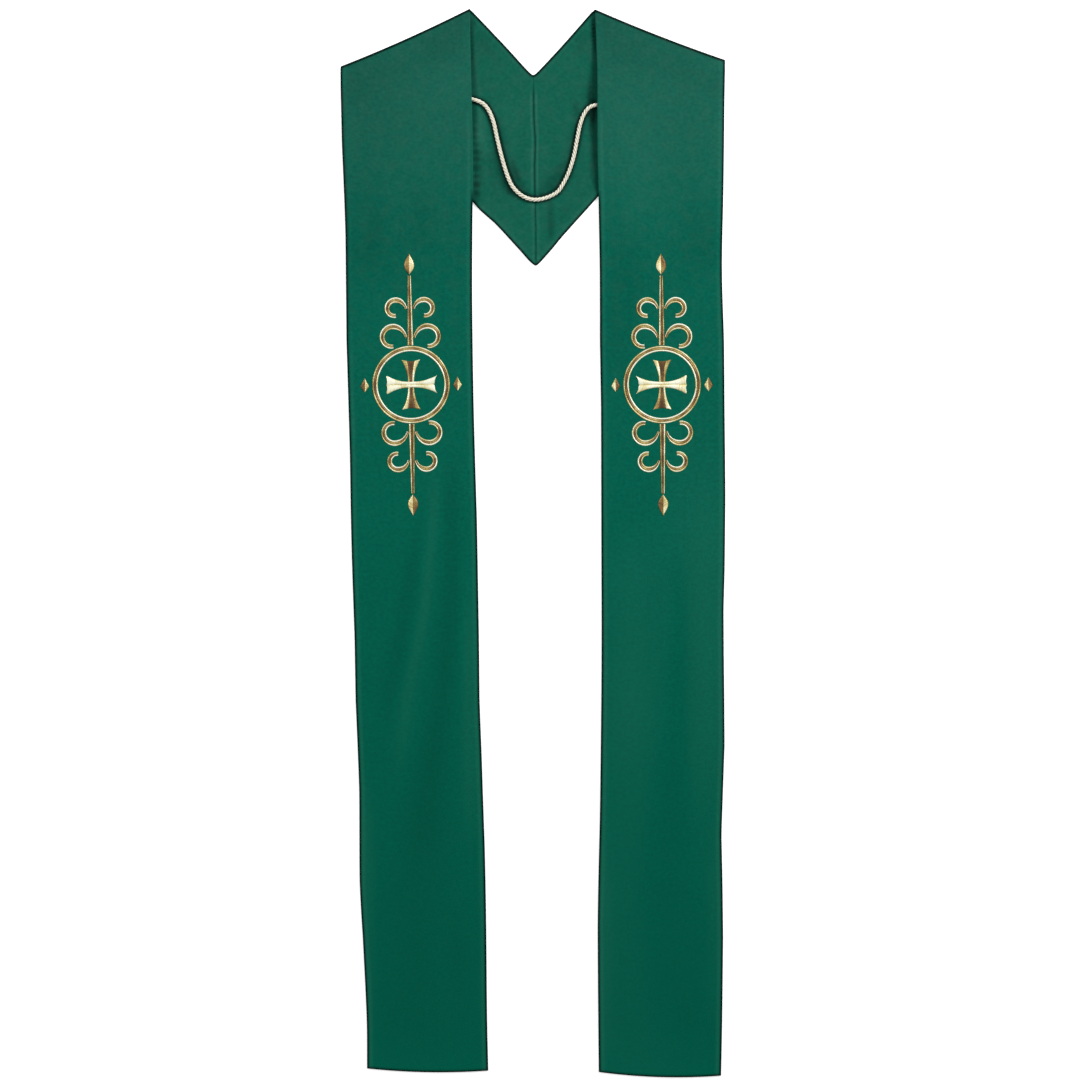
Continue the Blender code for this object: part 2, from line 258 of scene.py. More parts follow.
# Soft creases of the fronts, each a row of bends: x from the seam, drop, width and height,
# where a trough's height is below zero
FRONT_CREASES = {
    "left": (
        (
            (-117.0, 560.0, 9.0, 0.0), (-129.0, 636.0, 11.0, 1.1), (-143.0, 716.0, 12.0, 1.2),
            (-154.0, 784.0, 11.0, 0.6), (-162.0, 850.0, 10.0, 0.0),
        ),
        (
            (-104.0, 560.0, 9.0, 0.0), (-114.0, 660.0, 11.0, -0.6), (-126.0, 780.0, 13.0, -0.8),
            (-139.0, 880.0, 15.0, -0.6), (-152.0, 985.0, 15.0, 0.0),
        ),
        (
            (-83.0, 500.0, 7.0, 0.0), (-83.0, 620.0, 9.0, 0.8), (-89.0, 750.0, 11.0, 1.1),
            (-98.0, 860.0, 13.0, 0.7), (-104.0, 960.0, 12.0, 0.0),
        ),
        (
            (-98.0, 985.0, 13.0, 0.0), (-96.0, 1045.0, 17.0, -0.7), (-93.0, 1110.0, 15.0, -0.4),
            (-92.0, 1165.0, 13.0, -0.1),
        ),
        ((-150.0, 1010.0, 12.0, 0.0), (-158.0, 1080.0, 16.0, 0.6), (-160.0, 1150.0, 14.0, 0.2)),
        ((-182.0, 205.0, 8.0, 0.0), (-190.0, 238.0, 9.0, -0.6), (-200.0, 264.0, 8.0, 0.0)),
        ((-98.0, 212.0, 8.0, 0.0), (-105.0, 236.0, 9.0, -0.6), (-112.0, 262.0, 7.0, 0.0)),
    ),
    "right": (
        (
            (184.0, 540.0, 9.0, 0.0), (182.0, 650.0, 12.0, 0.9), (184.0, 760.0, 13.0, 1.1),
            (174.0, 860.0, 14.0, 0.7), (168.0, 940.0, 14.0, 0.0),
        ),
        (
            (150.0, 570.0, 10.0, 0.0), (152.0, 660.0, 13.0, -0.6), (154.0, 760.0, 15.0, -0.7),
            (140.0, 880.0, 18.0, -0.5), (134.0, 980.0, 18.0, 0.0),
        ),
        (
            (96.0, 575.0, 12.0, 0.0), (98.0, 660.0, 18.0, 0.8), (96.0, 770.0, 18.0, 0.6),
            (92.0, 860.0, 14.0, 0.0),
        ),
        ((152.0, 1040.0, 12.0, 0.0), (156.0, 1110.0, 15.0, -0.4), (158.0, 1170.0, 13.0, -0.2)),
        ((112.0, 900.0, 10.0, 0.0), (106.0, 990.0, 14.0, -0.5), (102.0, 1080.0, 12.0, 0.0)),
        ((96.0, 180.0, 8.0, 0.0), (103.0, 214.0, 9.0, -0.5), (112.0, 252.0, 8.0, 0.0)),
        ((188.0, 150.0, 10.0, 0.0), (182.0, 210.0, 12.0, 0.5), (180.0, 262.0, 9.0, 0.0)),
    ),
}

# Painted light and shade of the fronts, in the same kind of rows: bands painted lighter or, below zero,
# darker, where the creases' shading falls
FRONT_PAINTED_LIGHT_AND_SHADE = {
    "left": (
        (
            (-122.0, 530.0, 8.0, 0.0), (-136.0, 616.0, 11.0, -0.65), (-146.0, 690.0, 11.0, -0.65),
            (-160.0, 750.0, 11.0, -0.45), (-172.0, 815.0, 10.0, 0.0),
        ),
        (
            (-110.0, 490.0, 8.0, 0.0), (-112.0, 560.0, 8.0, 0.5), (-124.0, 670.0, 9.0, 0.5),
            (-142.0, 760.0, 10.0, 0.4), (-156.0, 893.0, 12.0, 0.0),
        ),
        (
            (-88.0, 475.0, 8.0, 0.0), (-92.0, 540.0, 11.0, -0.7), (-93.0, 640.0, 12.0, -0.8),
            (-98.0, 720.0, 13.0, -0.8), (-108.0, 794.0, 14.0, -0.8), (-121.0, 880.0, 20.0, -0.8),
            (-134.0, 980.0, 32.0, -0.45), (-132.0, 1120.0, 36.0, -0.3),
        ),
        (
            (-75.0, 590.0, 6.0, 0.0), (-74.0, 720.0, 8.0, 0.5), (-73.0, 840.0, 9.0, 0.45),
            (-72.0, 960.0, 8.0, 0.0),
        ),
        ((-86.0, 985.0, 8.0, 0.0), (-86.0, 1055.0, 13.0, -0.3), (-82.0, 1125.0, 11.0, 0.0)),
        (
            (-190.0, 820.0, 8.0, 0.0), (-187.0, 930.0, 10.0, 0.4), (-184.0, 1060.0, 9.0, 0.25),
            (-181.0, 1170.0, 8.0, 0.1),
        ),
        ((-116.0, 170.0, 18.0, 0.0), (-126.0, 232.0, 24.0, -0.75), (-134.0, 300.0, 20.0, -0.2)),
        ((-168.0, 205.0, 9.0, 0.0), (-178.0, 250.0, 13.0, -0.5), (-188.0, 310.0, 10.0, 0.0)),
        (
            (-204.0, 60.0, 26.0, -0.5), (-198.0, 150.0, 34.0, -0.45), (-190.0, 265.0, 34.0, -0.7),
            (-176.0, 340.0, 30.0, 0.0),
        ),
        (
            (-80.0, 10.0, 14.0, -0.9), (-102.0, 40.0, 26.0, -1.1), (-150.0, 60.0, 26.0, -0.6),
            (-200.0, 76.0, 22.0, -0.3),
        ),
        ((-92.0, 210.0, 20.0, 0.0), (-88.0, 270.0, 26.0, -0.4), (-86.0, 330.0, 22.0, 0.0)),
        (
            (-213.0, 92.0, 2.4, -1.0), (-211.6, 140.0, 2.4, -1.6), (-209.8, 190.0, 2.4, -1.6),
            (-208.4, 235.0, 2.4, -1.6), (-206.6, 325.0, 2.4, -1.2), (-204.5, 440.0, 2.2, 0.0),
        ),
    ),
    "right": (
        (
            (106.0, 540.0, 20.0, 0.0), (106.0, 640.0, 30.0, 0.35), (104.0, 780.0, 28.0, 0.25),
            (98.0, 880.0, 20.0, 0.0),
        ),
        (
            (158.0, 560.0, 9.0, 0.0), (160.0, 679.0, 11.0, -0.35), (158.0, 756.0, 14.0, -0.4),
            (152.0, 870.0, 20.0, -0.45), (147.0, 950.0, 28.0, -0.35), (146.0, 1110.0, 32.0, -0.15),
        ),
        ((78.0, 900.0, 8.0, 0.0), (78.0, 990.0, 10.0, 0.35), (78.0, 1150.0, 10.0, 0.2)),
        ((200.0, 880.0, 8.0, 0.0), (199.0, 990.0, 9.0, 0.3), (199.0, 1120.0, 9.0, 0.1)),
        ((166.0, 1085.0, 8.0, 0.0), (167.0, 1118.0, 13.0, -0.2), (166.0, 1150.0, 9.0, 0.0)),
        (
            (86.0, 90.0, 16.0, 0.0), (112.0, 150.0, 30.0, 0.3), (118.0, 200.0, 30.0, 0.25),
            (110.0, 280.0, 22.0, 0.0),
        ),
        ((74.0, 12.0, 14.0, -1.0), (98.0, 44.0, 32.0, -0.9), (150.0, 58.0, 24.0, -0.6)),
        (
            (190.0, 420.0, 40.0, 0.0), (190.0, 600.0, 46.0, 0.55), (190.0, 780.0, 46.0, 0.5),
            (180.0, 940.0, 46.0, 0.15),
        ),
        ((100.0, 640.0, 40.0, 0.0), (100.0, 800.0, 40.0, 0.25), (110.0, 1160.0, 50.0, 0.2)),
        (
            (90.0, 210.0, 18.0, 0.0), (98.0, 280.0, 26.0, -0.6), (90.0, 380.0, 18.0, -0.4),
            (88.0, 440.0, 14.0, 0.0),
        ),
        ((190.0, 190.0, 22.0, 0.0), (186.0, 260.0, 28.0, -0.7), (184.0, 320.0, 22.0, 0.0)),
    ),
}

# Soft creases of the yoke, in the same kind of rows
YOKE_CREASES = {
    "left": (
        ((-72.0, 140.0, 5.0, 0.0), (-70.0, 165.0, 7.0, -1.0), (-69.0, 215.0, 6.0, -0.8)),
        (
            (-64.0, 96.0, 6.0, 0.0), (-62.0, 120.0, 6.5, 1.0), (-59.0, 145.0, 7.0, 1.2),
            (-56.0, 180.0, 7.0, 0.8), (-56.0, 212.0, 6.0, 0.2),
        ),
        ((-62.0, 28.0, 4.0, 0.0), (-54.0, 42.0, 5.0, 0.6), (-44.0, 54.0, 4.0, 0.0)),
        (
            (-10.0, 100.0, 4.0, 0.0), (-10.0, 130.0, 5.0, 0.4), (-8.0, 180.0, 5.0, 0.4),
            (-8.0, 232.0, 4.0, 0.0),
        ),
        ((-34.0, 212.0, 4.0, 0.0), (-25.0, 232.0, 6.0, -0.6), (-15.0, 252.0, 4.0, 0.0)),
        ((-120.0, 92.0, 8.0, 0.0), (-128.0, 120.0, 10.0, 0.6), (-131.0, 142.0, 7.0, 0.0)),
    ),
    "right": (
        (
            (73.0, 10.0, 4.0, -0.7), (72.0, 80.0, 6.0, -1.0), (72.0, 118.0, 8.0, -1.3),
            (73.0, 150.0, 6.0, -0.8), (73.0, 210.0, 5.0, -0.6),
        ),
        (
            (4.0, 98.0, 2.6, 0.0), (4.6, 125.0, 2.8, 0.55), (7.0, 170.0, 3.0, 0.6),
            (6.6, 205.0, 2.8, 0.3), (5.4, 235.0, 2.6, 0.0),
        ),
        ((21.5, 204.0, 3.0, 0.0), (22.5, 226.0, 3.6, 0.7), (22.0, 254.0, 3.0, 0.0)),
        ((14.0, 112.0, 4.0, 0.0), (18.0, 150.0, 5.5, -0.4), (17.0, 188.0, 4.0, 0.0)),
        ((57.0, 126.0, 3.6, 0.0), (54.0, 158.0, 5.0, 0.6), (50.0, 196.0, 4.0, 0.0)),
        ((118.0, 88.0, 8.0, 0.0), (126.0, 112.0, 9.0, 0.5), (130.0, 138.0, 7.0, 0.0)),
    ),
}

# Painted light and shade of the yoke: painted shadow where it dips under the fronts' edges and where the
# cord presses on it, and paler painted light in places
YOKE_PAINTED_LIGHT_AND_SHADE = {
    "left": (
        (
            (-71.0, 14.0, 1.3, -1.6), (-71.0, 24.0, 1.4, -3.2), (-69.9, 38.0, 1.5, -2.8),
            (-69.4, 53.0, 1.7, -3.0), (-69.0, 70.0, 1.9, -1.9), (-68.4, 87.0, 2.2, -1.2),
            (-68.0, 118.0, 2.2, -1.3), (-67.4, 140.0, 1.8, -1.8), (-67.2, 153.0, 1.8, -0.6),
        ),
        (
            (-67.0, 20.0, 2.0, 0.6), (-66.2, 45.0, 2.3, 0.9), (-65.3, 62.0, 2.6, 1.1),
            (-64.0, 80.0, 3.2, 0.8), (-61.5, 104.0, 4.0, 1.0), (-61.5, 126.0, 4.8, 1.2),
            (-60.0, 140.0, 5.0, 1.0), (-56.0, 156.0, 4.6, 0.5),
        ),
        (
            (-65.0, 148.0, 3.6, 0.0), (-64.4, 162.0, 4.8, -2.0), (-64.0, 184.0, 5.0, -2.4),
            (-65.0, 201.0, 4.2, -4.0), (-65.0, 213.0, 4.2, -3.0),
        ),
        (
            (-64.0, 20.0, 5.0, 0.0), (-56.0, 36.0, 8.0, -1.1), (-44.0, 58.0, 7.0, -0.5),
            (-34.0, 70.0, 5.0, 0.0),
        ),
        (
            (-52.0, 150.0, 4.0, 0.0), (-49.5, 172.0, 5.0, -0.7), (-45.0, 196.0, 5.0, -0.5),
            (-38.0, 214.0, 4.0, 0.0),
        ),
        (
            (-48.0, 140.0, 3.4, 0.0), (-43.0, 170.0, 3.8, -1.4), (-38.5, 184.0, 3.8, -1.8),
            (-34.0, 195.0, 3.8, -2.5), (-28.5, 203.5, 3.4, -2.8), (-20.0, 209.5, 3.0, 0.0),
        ),
        (
            (-27.5, 163.0, 3.0, 0.0), (-23.5, 174.0, 3.6, -1.6), (-20.5, 184.0, 3.6, -2.3),
            (-15.5, 195.0, 3.4, -1.2), (-8.0, 203.0, 3.0, 0.0),
        ),
        ((-52.0, 106.0, 3.0, 0.0), (-44.0, 113.0, 4.0, 1.0), (-39.0, 128.0, 3.0, 0.0)),
        ((-16.0, 212.0, 3.0, 0.0), (0.0, 217.5, 3.6, 1.3), (15.0, 215.0, 3.0, 0.0)),
        ((-40.0, 92.0, 10.0, 0.0), (-26.0, 116.0, 12.0, 0.35), (-20.0, 150.0, 10.0, 0.0)),
    ),
    "right": (
        (
            (65.3, 13.0, 1.5, -3.0), (65.4, 22.0, 1.8, -5.6), (65.5, 30.0, 1.7, -4.2),
            (66.6, 40.0, 1.7, -3.6), (66.8, 54.0, 1.6, -0.6),
        ),
        ((62.7, 32.0, 1.6, 1.0), (62.7, 44.0, 1.7, 1.6), (62.7, 58.0, 1.6, 1.2)),
        (
            (62.5, 64.0, 2.2, -0.8), (62.2, 78.0, 2.8, -1.6), (61.4, 88.0, 3.6, -3.0),
            (61.2, 97.0, 4.4, -3.6), (63.2, 106.0, 4.4, -5.0), (63.8, 114.0, 4.4, -6.5),
            (63.4, 121.0, 4.1, -5.4), (63.0, 128.0, 3.6, -3.6), (62.7, 136.0, 3.2, -2.5),
            (63.6, 148.0, 2.5, -2.2), (64.2, 164.0, 2.8, -2.6), (64.4, 182.0, 3.0, -2.6),
            (67.0, 197.0, 2.4, -2.8), (68.0, 208.0, 2.2, -1.8),
        ),
        (
            (16.0, 204.0, 2.6, 0.0), (17.0, 226.0, 3.6, -1.5), (17.5, 245.0, 3.8, -2.0),
            (18.0, 264.0, 2.6, 0.0),
        ),
        ((44.0, 214.0, 4.0, 0.0), (34.0, 222.0, 6.0, -0.6), (24.0, 240.0, 5.0, 0.0)),
        ((56.0, 18.0, 6.0, 0.0), (52.0, 36.0, 8.0, -1.0), (46.0, 66.0, 7.0, 0.0)),
        ((42.0, 98.0, 3.0, 0.0), (46.5, 112.0, 3.6, -1.6), (43.0, 128.0, 3.0, 0.0)),
        (
            (33.0, 164.0, 4.0, 0.0), (25.5, 180.0, 6.0, -1.2), (16.0, 194.0, 8.0, -1.5),
            (8.0, 202.0, 5.0, -0.8), (0.0, 206.0, 4.0, 0.0),
        ),
    ),
}

# Painted shadow where the cord presses on the yoke, and a wider band of painted shade inside its loop
CORD_CONTACT_WIDTH = 3.4
CORD_CONTACT = -12.5
CORD_CONTACT_INWARD = 0.45
CORD_CONTACT_ENDS = 2
CORD_SHADE_INWARD = 5.5
CORD_SHADE_WIDTH = 5.0
CORD_SHADE = -0.85
CORD_SHADE_ENDS = 5

# How much the painted light and shade change the cloth's colour
PAINTED_LIGHT_GAIN = 0.17
PAINTED_SHADE_FLOOR = 0.25
PAINTED_LIGHT_TINT = 0.06
PAINTED_LIGHT_COLOUR = (0.11, 0.14, 0.12)

# Cloth, in metres: its grain, its roughness, and its colours along the strip from the hem, where the
# face's paler, greyer top is a painted sheen
CLOTH_LENGTH = 1.2
TONE_GRAIN = 0.75
TONE_DEPTH = 0.125
GRAIN_FULL = 0.75
HEM_GRAIN = 0.3
BLOTCH_DEPTH = 0.05
BLOTCH_SCALE = 75.0
FUZZ_SCALE = 2600.0
FUZZ_SHARE = 0.35
WEAVE_BUMP = 0.6
BLOTCH_FROM = 0.6
BLOTCH_FULL = 1.0
HEM_BLOTCH = 0.1
SLUB_TONE = 0.2
VALLEY_PAINTED_SHADE = -0.1
CROWN_PAINTED_LIGHT = 0.04
ROUGH_SMOOTH = 0.78
ROUGH_COARSE = 0.92
DRIFT_SCALE = 14.0
GRAIN_SCALE = 270.0
FACE_COLOURS_AND_PAINTED_SHEEN = (
    (0.0, (0.0001, 0.1090, 0.0680)),
    (0.05, (0.0001, 0.1020, 0.0640)),
    (0.3, (0.0001, 0.1025, 0.0640)),
    (0.5, (0.0004, 0.1060, 0.0670)),
    (0.74, (0.0012, 0.1065, 0.0690)),
    (0.81, (0.0035, 0.1075, 0.0715)),
    (0.88, (0.0080, 0.1075, 0.0735)),
    (1.0, (0.0095, 0.1080, 0.0745)),
)
LINING_COLOURS = (
    (0.0, (0.0055, 0.0990, 0.0645)),
    (1.0, (0.0055, 0.0990, 0.0645)),
)
# Near-black green of the painted shade along the edges, the shoulder fold and the seam
PAINTED_EDGE_SHADE_COLOUR = (0.0001, 0.0090, 0.0060)

# Puckers in the yoke beside the left front's inner edge; their crests are also painted lighter, amid the
# painted shade there
PUCKER_START = -66.0
PUCKER_HALF = 2.4
PUCKER_PAINTED_LIGHT = 6.0
PUCKER_BACK = 0.5
PUCKERS = (
    Pucker(drop=130.4, length=6.0, height=0.22),
    Pucker(drop=139.3, length=7.0, height=0.32),
    Pucker(drop=146.3, length=7.5, height=0.30),
    Pucker(drop=154.6, length=8.5, height=0.38),
    Pucker(drop=162.8, length=8.0, height=0.40),
    Pucker(drop=171.2, length=9.5, height=0.46),
    Pucker(drop=182.0, length=9.0, height=0.46),
    Pucker(drop=189.8, length=8.5, height=0.42),
    Pucker(drop=200.2, length=9.5, height=0.46),
    Pucker(drop=208.7, length=8.0, height=0.26),
)

# Neck cord: its plies, its colours from crown to groove, darker towards the groove as painted shade, and
# its route as x from the seam and drop
CORD_DIAMETER = 4.5
CORD_HEIGHT = 4.35
CORD_POINTS = 76
CORD_STRETCHES = 620
ROUTE_STEPS = 16
PLIES = 3
PLY_SAMPLES = 10
PLY_CENTRE = 1.17
PLY_RADIUS = 1.08
PLY_TURN = 12.6
PLY_APART = 3.0
GROOVE_POWER = 1.5
CORD_COLOURS_AND_GROOVE_SHADE = (
    (0.0, (0.820, 0.805, 0.690)),
    (0.4, (0.770, 0.735, 0.575)),
    (0.75, (0.620, 0.545, 0.400)),
    (1.0, (0.330, 0.240, 0.150)),
)
CORD_MARK = (0.560, 0.400, 0.270)
CORD_ROUTE = (
    (-84.0, 99.0),
    (-76.0, 99.8),
    (-67.6, 101.2),
    (-59.6, 104.2),
    (-54.0, 109.0),
    (-49.4, 116.8),
    (-45.6, 127.5),
    (-42.0, 144.0),
    (-37.5, 162.5),
    (-31.6, 182.5),
    (-25.6, 196.2),
    (-17.5, 205.3),
    (-7.7, 210.7),
    (2.5, 212.0),
    (14.0, 209.4),
    (24.4, 203.8),
    (30.8, 195.0),
    (37.6, 181.0),
    (43.2, 163.0),
    (46.6, 145.5),
    (49.8, 129.5),
    (53.6, 118.8),
    (58.6, 111.2),
    (65.6, 107.4),
    (74.5, 106.2),
    (83.0, 105.0),
)

# Ornament of one front, about its middle, as in its solids
ORNAMENT_DROP = 417.0
THREAD_GAP = 0.6
RING_OUTER = 43.0
RING_INNER = 37.0
RING_STEPS = 240
CROSS_REACH = 28.0
CROSS_WAIST = 3.4
CROSS_FLARE = 10.5
CROSS_END_DIP = 2.0
CROSS_DIP_POWER = 6
CROSS_STEPS = 57
ARM_STEPS = 26
ARM_TUCK = 0.4
STEM_TOP = 121.0
STEM_ROOT_WIDTH = 6.4
STEM_TIP_WIDTH = 3.4
BUD_LENGTH = 24.0
BUD_WIDTH = 11.5
BUD_POWER = 1.2
BUD_TIP = 0.015
BUD_STEPS = 40
LOZENGE_OUT = 51.5
LOZENGE_HEIGHT = 16.0
LOZENGE_WIDTH = 10.0
LOZENGE_TIP = 0.97
LOZENGE_STEPS = 30
SCROLL_POINTS = 60
SCROLL_TURN = math.radians(265)
SCROLL_TURN_POWER = 1.25
SCROLL_HEADING = math.radians(72)
SCROLL_ROOT_WIDTH = 2.4
SCROLL_FULL_WIDTH = 6.2
SCROLL_TIP_WIDTH = 4.6
SCROLL_FULL_AT = 0.35
SCROLLS = (
    Scroll(name="low", height=52.0, length=58.0),
    Scroll(name="high", height=84.0, length=46.0),
)

# Satin stitches: their sizes, tones and colours. The tones carry a painted sheen and painted shade, and
# the colours run from shaded bronze to a near-white painted highlight
STITCH_PITCH = 0.5
STITCH_GROOVE = 0.1
STITCH_FOOT = 1.6
STITCH_SAMPLES = 8
STITCH_END = 0.9
STITCH_SWAY = 0.14
TONE_SWAY = 0.1
TONE_DRIFT = 0.1
DRIFT_LENGTH = 3.6
PAINTED_SHEEN_GAIN = 0.34
PAINTED_SHEEN_FROM = 0.35
STITCH_LEAST = 0.12
END_HEIGHT = 0.35
GROOVE_PAINTED_SHADE = 0.12
SIDE_PAINTED_SHADE = 0.3
THREAD_COLOURS_AND_PAINTED_LIGHT = (
    (0.0, (0.075, 0.035, 0.010)),
    (0.25, (0.225, 0.118, 0.030)),
    (0.5, (0.465, 0.350, 0.105)),
    (0.75, (0.790, 0.695, 0.345)),
    (0.95, (1.000, 1.000, 0.800)),
)

# Bands of stitches across a stroke, from its right edge to its left. Their tones are painted light and
# shade: one edge paler than the other, and an outlined stroke's middle darker
OUTLINED = (
    Band(start=0.0, end=0.3, crest=2.95, tone=0.66, slant=0.1),
    Band(start=0.27, end=0.73, crest=2.7, tone=0.25, slant=0.0),
    Band(start=0.7, end=1.0, crest=2.95, tone=0.98, slant=-0.1),
)
SOLID = (
    Band(start=0.0, end=0.52, crest=3.05, tone=0.74, slant=0.35),
    Band(start=0.48, end=1.0, crest=3.05, tone=0.82, slant=-0.35),
)
SPLIT = (
    Band(start=0.0, end=0.53, crest=3.0, tone=0.45, slant=0.45),
    Band(start=0.47, end=1.0, crest=3.0, tone=0.92, slant=-0.45),
)


def between(start, end, share):
    return start + (end - start) * share


def eased(share):
    """0 to 1, level at both ends."""
    held = np.clip(share, 0.0, 1.0)
    return held * held * (3.0 - 2.0 * held)


def world(x, drop, z):
    """A point from its distance right of the seam, its drop and its height, in metres."""
    return Vector((x + SEAM_X, FULL_LENGTH / 2 - drop, z)) * MM


def edge_at(sections, edge, drop):
    """How far out the named edge of a front lies at this drop, on a smooth line through its sections."""
    last = len(sections) - 2
    low = max(n for n in range(last + 1) if n == 0 or sections[n].drop <= drop)
    near = [sections[min(max(n, 0), last + 1)] for n in range(low - 1, low + 3)]
    start, end = near[1], near[2]
    run = end.drop - start.drop
    share = (drop - start.drop) / run
    at_start, at_end = getattr(start, edge), getattr(end, edge)
    slope_in = (at_end - getattr(near[0], edge)) / (end.drop - near[0].drop) * run
    slope_out = (getattr(near[3], edge) - at_start) / (near[3].drop - start.drop) * run
    square, cube = share**2, share**3
    return (
        at_start * (2 * cube - 3 * square + 1)
        + slope_in * (cube - 2 * square + share)
        + at_end * (3 * square - 2 * cube)
        + slope_out * (cube - square)
    )


def wave_at(waves, drop):
    """How far an edge's wave takes it outwards at this drop."""
    drops, outs = zip(*waves)
    return float(np.interp(drop, drops, outs))


def seam_drift(drop):
    """How far the centre-back seam stands to the right of the middle."""
    drops, rights = zip(*SEAM_DRIFTS)
    return np.interp(drop, drops, rights)


def new_object(name, data):
    obj = bpy.data.objects.new(name, data)
    bpy.context.scene.collection.objects.link(obj)
    return obj


def add_mesh(name, points, faces, finishes, floats=None, vectors=None):
    """A smooth mesh piece in metres, with any values that its material reads at each point."""
    mesh = bpy.data.meshes.new(name)
    mesh.from_pydata(points, [], faces)
    for key, values in (floats or {}).items():
        made = mesh.attributes.new(key, "FLOAT", "POINT")
        made.data.foreach_set("value", np.asarray(values, dtype=np.float32))
    for key, values in (vectors or {}).items():
        made = mesh.attributes.new(key, "FLOAT_VECTOR", "POINT")
        made.data.foreach_set("vector", np.asarray(values, dtype=np.float32).ravel())
    for finish in finishes:
        mesh.materials.append(finish)
    mesh.shade_smooth()
    return new_object(name, mesh)


# Camera and light


def add_camera():
    lens = bpy.data.cameras.new("camera")
    lens.lens = LENS
    lens.sensor_width = SENSOR
    lens.clip_end = CLIP_END
    camera = new_object("camera", lens)
    height = CLOTH / 2 + VIEW_WIDTH * LENS / SENSOR
    camera.location = Vector((*VIEW_CENTRE, height)) * MM
    bpy.context.scene.camera = camera


def add_lights():
    world_light = bpy.data.worlds.new("studio")
    world_light.use_nodes = True
    sky = world_light.node_tree.nodes["Background"]
    sky.inputs["Color"].default_value = (1.0, 1.0, 1.0, 1.0)
    sky.inputs["Strength"].default_value = SKY_STRENGTH
    bpy.context.scene.world = world_light
    for lamp in LAMPS:
        data = bpy.data.lights.new(lamp.name, "AREA")
        data.energy = lamp.energy
        data.size = lamp.size
        light = new_object(lamp.name, data)
        light.location = lamp.place
        aim = Vector(LIGHT_AIM) - light.location
        light.rotation_euler = aim.to_track_quat("-Z", "Y").to_euler()


def add_floor():
    bpy.ops.mesh.primitive_grid_add(
        x_subdivisions=FLOOR_PARTS, y_subdivisions=FLOOR_PARTS, size=FLOOR_SIZE
    )
    floor = bpy.context.object
    floor.name = "floor"
    floor.location = (0.0, 0.0, -FLOOR_GAP)
    finish, _ = new_finish(
        "pale_floor",
        {
            "Base Color": (0.9, 0.9, 0.9, 1.0),
            "Roughness": 0.9,
            "Specular IOR Level": 0.1,
            "Emission Color": (1.0, 1.0, 1.0, 1.0),
            "Emission Strength": 0.55,
        },
    )
    floor.data.materials.append(finish)


# Shader nodes


class Nodes:
    """Adds nodes to one tree and joins them."""

    def __init__(self, tree):
        self.tree = tree

    def add(self, kind, **values):
        node = self.tree.nodes.new(kind)
        for key, value in values.items():
            setattr(node, key, value)
        return node

    def join(self, source, target):
        self.tree.links.new(source, target)

    def fill(self, socket, value):
        if isinstance(value, bpy.types.NodeSocket):
            self.join(value, socket)
        else:
            socket.default_value = value

    def math(self, operation, *values):
        node = self.add("ShaderNodeMath", operation=operation)
        for socket, value in zip(node.inputs, values):
            self.fill(socket, value)
        return node.outputs[0]

    def scale(self, vector, value):
        node = self.add("ShaderNodeVectorMath", operation="SCALE")
        self.fill(node.inputs[0], vector)
        self.fill(node.inputs["Scale"], value)
        return node.outputs[0]

    def multiply(self, vector, value):
        node = self.add("ShaderNodeVectorMath", operation="MULTIPLY")
        self.fill(node.inputs[0], vector)
        self.fill(node.inputs[1], value)
        return node.outputs[0]

    def noise(self, vector, scale, detail=2.0, roughness=0.5):
        node = self.add("ShaderNodeTexNoise")
        self.fill(node.inputs["Vector"], vector)
        node.inputs["Scale"].default_value = scale
        node.inputs["Detail"].default_value = detail
        node.inputs["Roughness"].default_value = roughness
        return node.outputs["Fac"]

    def map_range(self, value, low, high, to_low, to_high):
        node = self.add("ShaderNodeMapRange")
        names = ("Value", "From Min", "From Max", "To Min", "To Max")
        for name, given in zip(names, (value, low, high, to_low, to_high)):
            self.fill(node.inputs[name], given)
        return node.outputs[0]

    def blend(self, share, first, second):
        node = self.add("ShaderNodeMix", data_type="RGBA")
        colours = [socket for socket in node.inputs if socket.type == "RGBA"]
        self.fill(node.inputs[0], share)
        for socket, colour in zip(colours, (first, second)):
            self.fill(socket, colour)
        return next(socket for socket in node.outputs if socket.type == "RGBA")

    def ramp(self, share, stops):
        node = self.add("ShaderNodeValToRGB")
        self.fill(node.inputs[0], share)
        elements = node.color_ramp.elements
        for element, (position, colour) in ((elements[0], stops[0]), (elements[-1], stops[-1])):
            element.position = position
            element.color = (*colour, 1.0)
        for position, colour in stops[1:-1]:
            elements.new(position).color = (*colour, 1.0)
        return node.outputs["Color"]

    def attribute(self, name, output):
        return self.add("ShaderNodeAttribute", attribute_name=name).outputs[output]

    def bump(self, height, strength, distance):
        node = self.add("ShaderNodeBump")
        node.inputs["Strength"].default_value = strength
        node.inputs["Distance"].default_value = distance
        self.join(height, node.inputs["Height"])
        return node.outputs["Normal"]

    def group(self, tree, **values):
        node = self.add("ShaderNodeGroup")
        node.node_tree = tree
        for name, value in values.items():
            self.fill(node.inputs[name], value)
        return node


def new_finish(name, constants):
    """A material and its shader, with the values that are the same all over the surface."""
    finish = bpy.data.materials.new(name)
    finish.use_nodes = True
    surface = finish.node_tree.nodes["Principled BSDF"]
    for socket, value in constants.items():
        surface.inputs[socket].default_value = value
    return finish, surface


def new_group(name, inputs, outputs):
    """A node group: its tree, its nodes, and its inputs and outputs by name."""
    tree = bpy.data.node_groups.new(name, "ShaderNodeTree")
    for socket, kind in inputs:
        tree.interface.new_socket(socket, in_out="INPUT", socket_type=kind)
    for socket, kind in outputs:
        tree.interface.new_socket(socket, in_out="OUTPUT", socket_type=kind)
    nodes = Nodes(tree)
    given = nodes.add("NodeGroupInput").outputs
    made = nodes.add("NodeGroupOutput").inputs
    return tree, nodes, given, made


